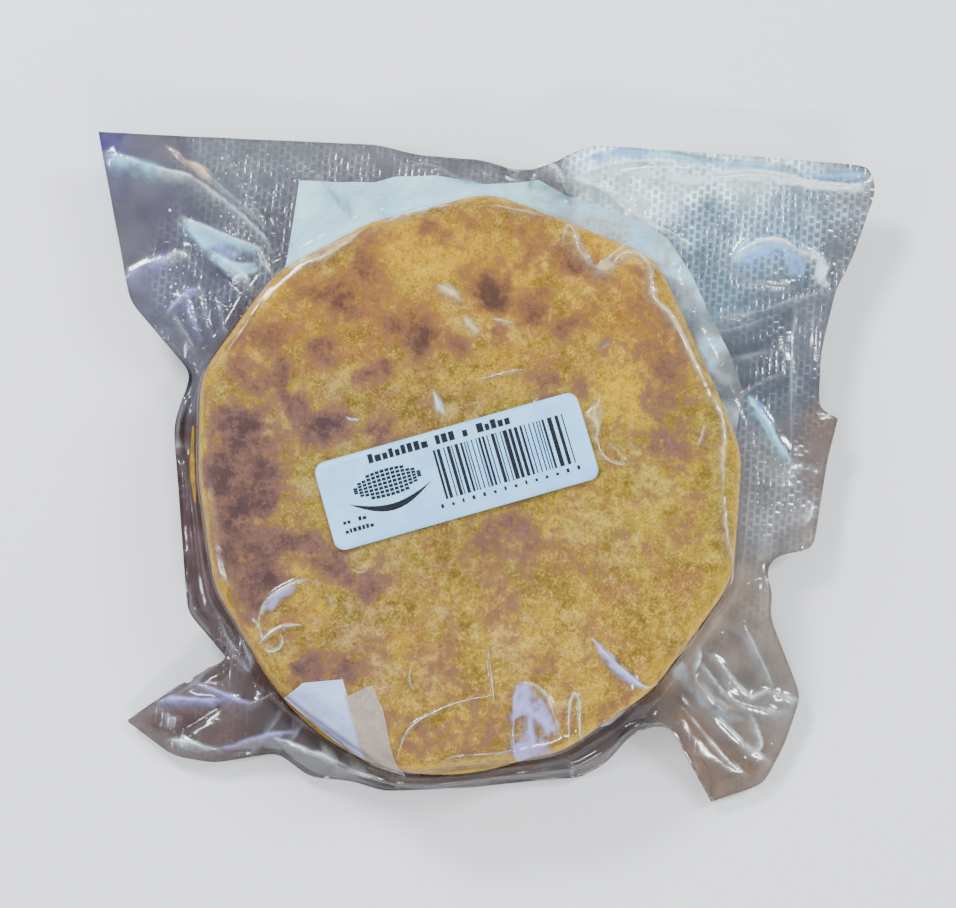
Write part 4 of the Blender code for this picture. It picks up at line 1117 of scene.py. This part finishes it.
def make_cake(name, shift, low, high, shoulders, stations, top_rings, seed, material, toast, yolk):
    """One griddled cake: a lobed disc with soft shoulders, lumpy and crumbed all over."""
    angles = np.linspace(0, 2 * math.pi, stations, endpoint=False)
    rim, out = cake_rim(angles, shift)
    centre = np.add(CAKE_CENTRE, shift)
    under, over = shoulders
    rows = []
    for share in np.linspace(0.01, 1, top_rings):
        points = centre + (rim - out * over - centre) * share
        rows.append(np.column_stack([points, np.full(stations, high)]))
    for turn in np.linspace(0, math.pi / 2, 10)[1:]:
        points = rim - out * over * (1 - math.sin(turn))
        rows.append(np.column_stack([points, np.full(stations, high - over * (1 - math.cos(turn)))]))
    for turn in np.linspace(0, math.pi / 2, 9):
        points = rim - out * under * (1 - math.cos(turn))
        rows.append(np.column_stack([points, np.full(stations, low + under * (1 - math.sin(turn)))]))
    for share in np.linspace(1, 0.01, 16)[1:]:
        points = centre + (rim - out * under - centre) * share
        rows.append(np.column_stack([points, np.full(stations, low)]))
    grid = np.array(rows)[::-1]
    x, y, z = grid[..., 0], grid[..., 1], grid[..., 2]
    lumps = layered_noise(x, y + z * 1.7, 5.0 * MM, seed, 4, 0.6)
    crumb = layered_noise(x + z, y - z, 1.6 * MM, seed + 20, 2, 0.6)
    relief = 0.16 * MM * lumps + 0.07 * MM * crumb
    relief *= smooth_step(low, low + 1.0 * MM, z) * 0.8 + 0.2
    normal = surface_normals(grid)
    moved = grid + normal * relief[..., None]
    top = smooth_step(high - 3 * MM, high, z)
    moved[..., 2] += top_sway(x, y) * top
    moved[..., 2] = np.maximum(moved[..., 2], low)

    vertices = moved.reshape(-1, 3)
    faces = grid_faces(len(grid), stations).tolist()
    vertices = np.vstack([vertices, moved[0].mean(axis=0), moved[-1].mean(axis=0)])
    bottom, crown, last = len(vertices) - 2, len(vertices) - 1, (len(grid) - 1) * stations
    for i in range(stations):
        following = (i + 1) % stations
        faces.append([bottom, following, i])
        faces.append([last + i, last + following, crown])
    cake = new_piece(name, vertices, faces, material)
    x, y, z = vertices.T
    side = smooth_step(0.8 * MM, 4.0 * MM, high - z)
    store(cake, "toast", patches(x, y, toast) * (1 - side) + 0.05 * side)
    store(cake, "yolk", patches(x, y, yolk) * (1 - side) + 1.1 * side)
    return cake


# ---------------------------------------------------------------- creases pinched into ridges


def ridge_tree(material):
    """Sweep a small round section along every run, thinning out at both of its ends."""
    tree = bpy.data.node_groups.new("pinched_ridges", "GeometryNodeTree")
    tree.interface.new_socket("Geometry", in_out="INPUT", socket_type="NodeSocketGeometry")
    tree.interface.new_socket("Section Sides", in_out="INPUT", socket_type="NodeSocketInt")
    tree.interface.new_socket("Thinning", in_out="INPUT", socket_type="NodeSocketFloat")
    tree.interface.new_socket("Geometry", in_out="OUTPUT", socket_type="NodeSocketGeometry")
    n = Nodes(tree)
    given = n.add("NodeGroupInput")
    result = n.add("NodeGroupOutput")
    curve = n.add("GeometryNodeMeshToCurve", {"Mesh": given.outputs["Geometry"]})
    along = n.add("GeometryNodeSplineParameter").outputs["Factor"]
    middle = n.maths("SUBTRACT", 1.0, n.maths("ABSOLUTE", n.maths("MULTIPLY_ADD", along, 2.0, -1.0)))
    taper = n.maths("POWER", n.maths("MAXIMUM", middle, 0.02), given.outputs["Thinning"])
    thickness = n.add("GeometryNodeInputNamedAttribute", {"Name": "thickness"}, data_type="FLOAT")
    radius = n.maths("MULTIPLY", thickness.outputs["Attribute"], taper)
    section = n.add("GeometryNodeCurvePrimitiveCircle", {"Resolution": given.outputs["Section Sides"], "Radius": 1.0})
    swept = n.add("GeometryNodeCurveToMesh", {"Curve": curve.outputs[0], "Profile Curve": section.outputs[0]})
    n.feed(swept.inputs["Scale"], radius)
    n.feed(swept.inputs["Fill Caps"], True)
    solid = n.add("GeometryNodeRealizeInstances", {"Geometry": swept.outputs[0]})
    painted = n.add("GeometryNodeSetMaterial", {"Geometry": solid.outputs[0], "Material": material})
    n.feed(result.inputs["Geometry"], painted.outputs[0])
    return tree


def grown(piece, tree, **inputs):
    """Apply a geometry tree to a piece with its inputs named, leaving a plain mesh."""
    grower = piece.modifiers.new("grown", "NODES")
    grower.node_group = tree
    for socket in tree.interface.items_tree:
        if socket.in_out == "INPUT" and socket.name.replace(" ", "_") in inputs:
            grower[socket.identifier] = inputs[socket.name.replace(" ", "_")]
    ready = piece.evaluated_get(bpy.context.evaluated_depsgraph_get())
    mesh = bpy.data.meshes.new_from_object(ready)
    piece.modifiers.remove(grower)
    mesh.name = piece.name
    piece.data = mesh
    mesh.shade_smooth()
    return piece


def make_ridges(film, material):
    """Thin ridges along the sharp creases, lying on the film."""
    chance = np.random.default_rng(17)
    vertices, edges, thickness, tones, hazes = [], [], [], [], []
    for tone, _, width, whitening_and_painted_light, thick, places in FLANGE_CREASES + TOP_CREASES:
        if thick == 0:
            continue
        run = rounded_run(places, 0.6 * MM)
        stray = np.cumsum(chance.normal(0, 0.06 * MM, run.shape), axis=0)
        run = run + stray - np.linspace(stray[0], stray[-1], len(stray))
        uneven = np.clip(0.55 + 0.7 * soft_noise(run[:, 0], run[:, 1], 4 * MM, 90), 0.12, 1.2)
        start = len(vertices)
        for (x, y), share in zip(run, uneven):
            hit = film.ray_cast(Vector((x, y, 0.1)), Vector((0, 0, -1)))[0]
            if not hit:
                continue
            vertices.append(tuple(hit))
            thickness.append(0.5 * thick * MM * share)
            # The crease's tone, and a haze from its whiteness, paint a highlight along the ridge.
            tones.append(FILM_TONES[tone])
            hazes.append(min(0.9, 0.30 + 0.6 * whitening_and_painted_light) * min(1.0, 0.4 + share))
        edges.extend((i, i + 1) for i in range(start, len(vertices) - 1))
    mesh = bpy.data.meshes.new("film_ridges")
    mesh.from_pydata(vertices, edges, [])
    ridges = bpy.data.objects.new("film_ridges", mesh)
    bpy.context.scene.collection.objects.link(ridges)
    store(ridges, "thickness", thickness)
    store(ridges, "haze", hazes)
    store_colour(ridges, "tone", np.array(tones))
    return grown(ridges, ridge_tree(material), Section_Sides=6, Thinning=0.5)


# ---------------------------------------------------------------- flat pieces


def filled_outline(outline, spacing):
    """Triangles over a flat outline, with inner points on an even staggered grid."""
    outline = np.array(outline)
    low, high = outline.min(axis=0), outline.max(axis=0)
    points = [Vector(p) for p in outline]
    rows = np.arange(low[1], high[1], spacing * 0.87)
    for k, y in enumerate(rows):
        for x in np.arange(low[0] + (k % 2) * spacing / 2, high[0], spacing):
            if inside(outline, x, y, 0.45 * spacing):
                points.append(Vector((x, y)))
    edges = [(i, (i + 1) % len(outline)) for i in range(len(outline))]
    result = delaunay_2d_cdt(points, edges, [], 1, 1e-7)
    return np.array([tuple(p) for p in result[0]]), [list(f) for f in result[2]]


def inside(outline, x, y, margin):
    """True where a place lies inside the outline and clear of it by the margin."""
    a, b = outline, np.roll(outline, -1, axis=0)
    crosses = (a[:, 1] > y) != (b[:, 1] > y)
    with np.errstate(divide="ignore", invalid="ignore"):
        at = (b[:, 0] - a[:, 0]) * (y - a[:, 1]) / (b[:, 1] - a[:, 1]) + a[:, 0]
    if np.count_nonzero(crosses & (x < at)) % 2 == 0:
        return False
    step = b - a
    share = np.clip(((x - a[:, 0]) * step[:, 0] + (y - a[:, 1]) * step[:, 1]) / (step**2).sum(axis=1), 0, 1)
    away = np.hypot(x - a[:, 0] - share * step[:, 0], y - a[:, 1] - share * step[:, 1])
    return away.min() > margin


def label_outline():
    points = []
    half = [size / 2 - LABEL_CORNER for size in LABEL_SIZE]
    for quarter, (side_x, side_y) in enumerate(((1, 1), (-1, 1), (-1, -1), (1, -1))):
        for step in range(9):
            turn = math.pi / 2 * (quarter + step / 8)
            x = side_x * half[0] + LABEL_CORNER * math.cos(turn)
            y = side_y * half[1] + LABEL_CORNER * math.sin(turn)
            points.append((x, y))
    return points


def on_label(u, v, lift):
    """World points for places on the label, measured from its middle, lifted off the film."""
    x = LABEL_CENTRE.x + u * math.cos(LABEL_TURN) - v * math.sin(LABEL_TURN)
    y = LABEL_CENTRE.y + u * math.sin(LABEL_TURN) + v * math.cos(LABEL_TURN)
    return np.column_stack([x, y, STACK_HEIGHT + 0.3 * MM + top_sway(x, y) + lift])


def make_label(material):
    flat, faces = filled_outline(label_outline(), 1.6 * MM)
    vertices = on_label(flat[:, 0], flat[:, 1], 0.0)
    label = new_piece("paper_label", vertices, faces, material)
    thick = label.modifiers.new("paper", "SOLIDIFY")
    thick.thickness = 0.12 * MM
    thick.offset = 1.0
    return label


def row_of_blocks(chance, at, end, base, tall, wide, gap, skip=0.12):
    """Small blocks in a row, like a line of print: centre, width and height of each."""
    blocks = []
    while at < end:
        width = wide * chance.uniform(0.75, 1.25)
        height = tall * chance.choice([1.0, 1.0, 0.72, 0.72])
        if chance.uniform() > skip:
            blocks.append((at + width / 2, base + height / 2, width, height))
        at += width + gap
    return blocks


def plain_stripes(chance, at, end, base, tall):
    """Upright stripes of uneven widths that spell nothing."""
    stripes = []
    while at < end:
        wide = chance.choice([0.33, 0.33, 0.66, 0.95, 1.25]) * MM
        stripes.append((at + wide / 2, base + tall / 2, wide, tall))
        at += wide + chance.choice([0.33, 0.45, 0.66, 0.95]) * MM
    return stripes


def corn_ear(u, v):
    """Kernels of a plain ear of corn as small blocks in bowed rows."""
    kernels = []
    half_length, half_width = 9.5 * MM, 3.9 * MM
    for column in range(-3, 4):
        for row in range(14):
            across = column * 1.15 * MM
            along = (row - 6.5) * 1.4 * MM
            narrow = math.sqrt(max(0.0, 1 - (along / half_length) ** 2))
            if abs(across) < half_width * (0.25 + 0.75 * narrow):
                kernels.append((u + along, v + across * (0.35 + 0.65 * narrow), 1.12 * MM, 0.86 * MM * (0.5 + 0.5 * narrow)))
    return kernels


def print_blocks():
    """Every block of the label's generic print, measured from its middle."""
    left, top = -LABEL_SIZE[0] / 2, LABEL_SIZE[1] / 2
    chance = np.random.default_rng(8)
    share = LABEL_SIZE[0]
    blocks = row_of_blocks(chance, left + 0.20 * share, left + 0.73 * share, top - 4.0 * MM, 2.6 * MM, 1.5 * MM, 0.5 * MM)
    blocks += plain_stripes(chance, left + 0.435 * share, left + 0.935 * share, top - 19.5 * MM, 14.2 * MM)
    blocks += row_of_blocks(chance, left + 0.41 * share, left + 0.94 * share, top - 21.6 * MM, 1.1 * MM, 0.7 * MM, 2.3 * MM, 0)
    blocks += row_of_blocks(chance, left + 0.05 * share, left + 0.13 * share, top - 18.6 * MM, 1.2 * MM, 0.8 * MM, 0.35 * MM)
    blocks += row_of_blocks(chance, left + 0.05 * share, left + 0.16 * share, top - 21.2 * MM, 1.2 * MM, 0.8 * MM, 0.35 * MM)
    return blocks + corn_ear(left + 0.245 * share, top - 10.4 * MM)


def leaf(u, v, length, bend):
    """Outline of a pointed husk leaf that bends to one side."""
    turns = np.linspace(0, 1, 13)
    outer = [(u + length * t, v + bend * math.sin(math.pi * t)) for t in turns]
    inner = [(u + length * t, v + 0.62 * bend * math.sin(math.pi * t)) for t in turns[-2:0:-1]]
    return outer + inner


def block_tree(material):
    """Set a rectangle of its own size on every point, fine enough to follow the label."""
    tree = bpy.data.node_groups.new("printed_blocks", "GeometryNodeTree")
    tree.interface.new_socket("Geometry", in_out="INPUT", socket_type="NodeSocketGeometry")
    tree.interface.new_socket("Steps Along", in_out="INPUT", socket_type="NodeSocketInt")
    tree.interface.new_socket("Geometry", in_out="OUTPUT", socket_type="NodeSocketGeometry")
    n = Nodes(tree)
    given = n.add("NodeGroupInput")
    result = n.add("NodeGroupOutput")
    block = n.add("GeometryNodeMeshGrid", {"Size X": 1.0, "Size Y": 1.0, "Vertices X": 2})
    n.feed(block.inputs["Vertices Y"], given.outputs["Steps Along"])
    size = n.add("GeometryNodeInputNamedAttribute", {"Name": "size"}, data_type="FLOAT_VECTOR")
    points = n.add("GeometryNodeMeshToPoints", {"Mesh": given.outputs["Geometry"]})
    placed = n.add("GeometryNodeInstanceOnPoints", {"Points": points.outputs[0], "Instance": block.outputs["Mesh"]})
    n.feed(placed.inputs["Scale"], size.outputs["Attribute"])
    solid = n.add("GeometryNodeRealizeInstances", {"Geometry": placed.outputs[0]})
    painted = n.add("GeometryNodeSetMaterial", {"Geometry": solid.outputs[0], "Material": material})
    n.feed(result.inputs["Geometry"], painted.outputs[0])
    return tree


def make_print(material):
    """The label's print: blocks set by geometry nodes and one leaf, laid on the label."""
    blocks = print_blocks()
    mesh = bpy.data.meshes.new("label_print")
    mesh.from_pydata([(u, v, 0) for u, v, _, _ in blocks], [], [])
    ink = bpy.data.objects.new("label_print", mesh)
    bpy.context.scene.collection.objects.link(ink)
    sizes = mesh.attributes.new("size", "FLOAT_VECTOR", "POINT")
    sizes.data.foreach_set("vector", [number for _, _, wide, tall in blocks for number in (wide, tall, 1.0)])
    ink = grown(ink, block_tree(material), Steps_Along=7)

    build = bmesh.new()
    build.from_mesh(ink.data)
    inked = ink.data.polygons[0].material_index
    left, top = -LABEL_SIZE[0] / 2, LABEL_SIZE[1] / 2
    for length, bend in ((24 * MM, -5.0 * MM),):
        flat, faces = filled_outline(leaf(left + 0.085 * LABEL_SIZE[0], top - 13.4 * MM, length, bend), 1.2 * MM)
        corners = [build.verts.new((u, v, 0)) for u, v in flat]
        for face in faces:
            build.faces.new([corners[i] for i in face]).material_index = inked
    flat = np.array([v.co for v in build.verts])
    for vertex, point in zip(build.verts, on_label(flat[:, 0], flat[:, 1], 0.17 * MM)):
        vertex.co = point
    bmesh.ops.recalc_face_normals(build, faces=build.faces)
    for face in build.faces:
        if face.normal.z < 0:
            face.normal_flip()
    build.to_mesh(ink.data)
    build.free()
    return ink


# Outline of the parchment between the cakes (mm).
PARCHMENT_OUTLINE = (
    (-50.5, 91), (-40, 90), (-28, 90), (-22, 92), (-10, 92.3), (4, 89.5), (20, 90), (28, 86), (40, 82), (50, 78),
    (58, 73), (65, 62), (70, 50), (76, 38), (79, 28), (76, 10), (72, -20), (64, -44), (40, -68), (0, -76),
    (-40, -64), (-60, -44), (-70, -10), (-70, 20), (-62, 44), (-54, 64), (-52, 78),
)
# Corner of the parchment that folds up over the top cake (mm), and where it is thin enough to see through.
FOLDED_CORNER = (
    (-52, -61), (-46, -57), (-35, -56), (-33.6, -60.6), (-27, -57.6), (-24, -64), (-21, -77), (-18, -82.6),
    (-28, -79.5), (-38, -73), (-46, -66.5),
)
THIN_CORNER = ((-34.5, -60), (-26, -56), (-19, -83.5), (-29.5, -80), (-31.5, -70))


def sheet_material(name, low, high):
    """Baking parchment, bluish white and softly wrinkled."""
    material, n = new_material(name)
    place = n.place()
    cloud = n.noise(place, 11 * MM, 3.0, 0.6)
    fibre = n.noise(place, 0.8 * MM, 2.0)
    cover = n.attribute("cover").outputs["Fac"]
    tint = n.blend(n.span(cloud, 0.3, 0.7), low, high)
    tint = n.blend(n.span(cover, 0.86, 0.50, 0.0, 0.85), tint, colour(0.66, 0.64, 0.62))
    normal = n.bump(n.maths("MULTIPLY_ADD", fibre, 0.05, cloud), 0.9, 2.6 * MM)
    shader = n.add("ShaderNodeBsdfPrincipled", {"Base Color": tint, "Normal": normal})
    n.feed(shader.inputs["Roughness"], n.span(fibre, 0.3, 0.7, 0.45, 0.6))
    n.feed(shader.inputs["Alpha"], cover)
    n.add("ShaderNodeOutputMaterial", {"Surface": shader.outputs[0]})
    return material


def tree_of(*pieces):
    """A search tree over the faces of several pieces."""
    vertices, faces = [], []
    for piece in pieces:
        start = len(vertices)
        vertices.extend(v.co.copy() for v in piece.data.vertices)
        faces.extend([start + i for i in face.vertices] for face in piece.data.polygons)
    return BVHTree.FromPolygons(vertices, faces)


def height_on(tree, x, y, downwards=True):
    """Height of a surface at a place, met from above or from below."""
    start = Vector((x, y, 0.1 if downwards else -0.1))
    hit = tree.ray_cast(start, Vector((0, 0, -1 if downwards else 1)))[0]
    return hit.z if hit else FLANGE_HEIGHT


def make_parchment(above, below, material):
    """Sheet between the cakes that shows round them, pressed between the two films."""
    stations = 420
    turns = np.linspace(0, 2 * math.pi, stations, endpoint=False)
    out = np.column_stack([np.cos(turns), np.sin(turns)])
    rim, _ = cake_rim(turns)
    rim = np.hypot(*(rim - CAKE_CENTRE).T)
    outer = reach_to(PARCHMENT_OUTLINE, turns)
    inner = np.minimum(outer, rim) - 8 * MM
    rows = [np.array(CAKE_CENTRE) + out * (outer + (inner - outer) * share)[:, None] for share in np.linspace(0, 1, 30)]
    flat = np.array(rows).reshape(-1, 2)
    heights = [(height_on(above, x, y) + height_on(below, x, y, False)) / 2 for x, y in flat]
    away = np.hypot(*(flat - CAKE_CENTRE).T) - np.tile(rim, len(rows))
    between = smooth_step(4.0 * MM, -1.0 * MM, away)
    heights = np.array(heights) * (1 - between) + CAKE_MEET * between
    sheet = new_piece("parchment", np.column_stack([flat, heights]), grid_faces(len(rows), stations).tolist(), material)
    worn = 0.42 + 0.9 * layered_noise(flat[:, 0], flat[:, 1], 7 * MM, 91, 3)
    store(sheet, "cover", 0.97 - np.clip(worn, 0.1, 0.85) * smooth_step(8 * MM, 48 * MM, flat[:, 0]))
    return sheet


def evened(heights, faces, rounds):
    """Heights averaged over the faces that meet at each point."""
    faces = np.array(faces)
    for _ in range(rounds):
        means = heights[faces].mean(axis=1)
        sums, counts = np.zeros(len(heights)), np.zeros(len(heights))
        for side in range(faces.shape[1]):
            np.add.at(sums, faces[:, side], means)
            np.add.at(counts, faces[:, side], 1)
        heights = sums / np.maximum(counts, 1)
    return heights


def make_folded_corner(above, material):
    """Corner of the parchment over the top cake's edge, just under the film."""
    flat, faces = filled_outline(np.array(FOLDED_CORNER) * MM, 0.5 * MM)
    heights = np.array([height_on(above, x, y) for x, y in flat])
    heights = np.maximum(heights, evened(heights, faces, 3)) - 0.18 * MM
    drawn_in = flat - 0.3 * MM * flat / np.linalg.norm(flat, axis=1, keepdims=True)
    corner = new_piece("parchment_corner", np.column_stack([drawn_in, heights]), faces, material)
    thin = smooth_step(-0.5 * MM, 0.5 * MM, depth_inside(flat[:, 0], flat[:, 1], THIN_CORNER))
    store(corner, "cover", 0.93 - 0.60 * thin)
    return corner


# ---------------------------------------------------------------- the scene


def aim(thing, target):
    thing.rotation_euler = (Vector(target) - thing.location).to_track_quat("-Z", "Y").to_euler()


def make_camera():
    elevation, distance = math.radians(82.0), 0.55
    target = Vector((2.3 * MM, 8.9 * MM, 15 * MM))
    data = bpy.data.cameras.new("camera")
    data.sensor_width = 36.0
    data.lens = 72.1
    camera = bpy.data.objects.new("camera", data)
    camera.location = target + distance * Vector((0, -math.cos(elevation), math.sin(elevation)))
    bpy.context.scene.collection.objects.link(camera)
    aim(camera, target)
    bpy.context.scene.camera = camera


def softbox(name, place, size, power, tint=(1.0, 1.0, 1.0)):
    data = bpy.data.lights.new(name, "AREA")
    data.shape = "RECTANGLE"
    data.size, data.size_y = size
    data.energy = power
    data.color = tint
    light = bpy.data.objects.new(name, data)
    light.location = place
    bpy.context.scene.collection.objects.link(light)
    aim(light, (0, 0, 0.015))


def make_studio():
    floor = new_piece("floor", [(-3, -3, 0), (3, -3, 0), (3, 3, 0), (-3, 3, 0)], [[0, 1, 2, 3]], floor_material())
    world = bpy.data.worlds.new("studio")
    world.use_nodes = True
    world.node_tree.nodes["Background"].inputs["Color"].default_value = (0.93, 0.95, 1.0, 1.0)
    world.node_tree.nodes["Background"].inputs["Strength"].default_value = 0.65
    bpy.context.scene.world = world
    softbox("key", (-0.55, 0.75, 0.75), (0.30, 0.22), 16.0, (0.94, 0.97, 1.0))
    softbox("strip_right", (0.9, 0.45, 0.9), (0.10, 0.5), 13.0, (0.86, 0.93, 1.0))
    softbox("strip_left", (-0.9, -0.1, 0.7), (0.08, 0.5), 6.5, (0.84, 0.86, 1.0))
    softbox("front", (0.3, -1.0, 0.8), (0.4, 0.10), 10.0, (1.0, 0.985, 0.96))


def main():
    make_studio()
    make_camera()

    clear = film_material("clear_film", 0.04 * MM, 0.0, 0.13, 0.032)
    front = creased_film(True)
    seam = UPPER_FLANGE_ROWS + FOOT_ROWS // 2
    flange = film_piece("film_front_flange", front, slice(0, seam + 1), False, True, clear)
    crown = film_piece("film_front_top", front, slice(seam, None), True, True, clear)
    embossed = film_material("embossed_film", 0.19 * MM, 1.15, 0.17, 0.10)
    back = film_piece("film_back", creased_film(False), slice(None), True, False, embossed)
    dough = cake_material("corn_cake")
    top = make_cake(
        "cake_top", (0.0, 0.0), CAKE_MEET + 0.2 * MM, CAKE_TOP, (5 * MM, TOP_SHOULDER - 0.6 * MM),
        480, 92, 60, dough, TOAST, YOLK,
    )
    lower = make_cake(
        "cake_lower", LOWER_CAKE_SHIFT, 0.4 * MM, CAKE_MEET - 0.2 * MM, (UNDER_SHOULDER - 0.6 * MM, 5 * MM),
        360, 40, 80, dough, (), (),
    )
    above, below = tree_of(flange, crown), tree_of(back)
    ridges = make_ridges(above, ridge_material())
    sheet = make_parchment(above, below, sheet_material("parchment", colour(0.42, 0.80, 1.0), colour(0.54, 0.96, 1.0)))
    corner = make_folded_corner(above, sheet_material("folded_parchment", colour(0.34, 0.42, 0.70), colour(0.50, 0.61, 0.95)))
    label = make_label(label_material())
    ink = make_print(ink_material())

    for piece in (flange, crown, back, ridges, top, lower, sheet, corner, label, ink):
        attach(piece, "root")
    for piece in (flange, crown, back, ridges, top, lower, sheet, corner):
        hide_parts("bag")
    for piece in (label, ink):
        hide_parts("label")


main()
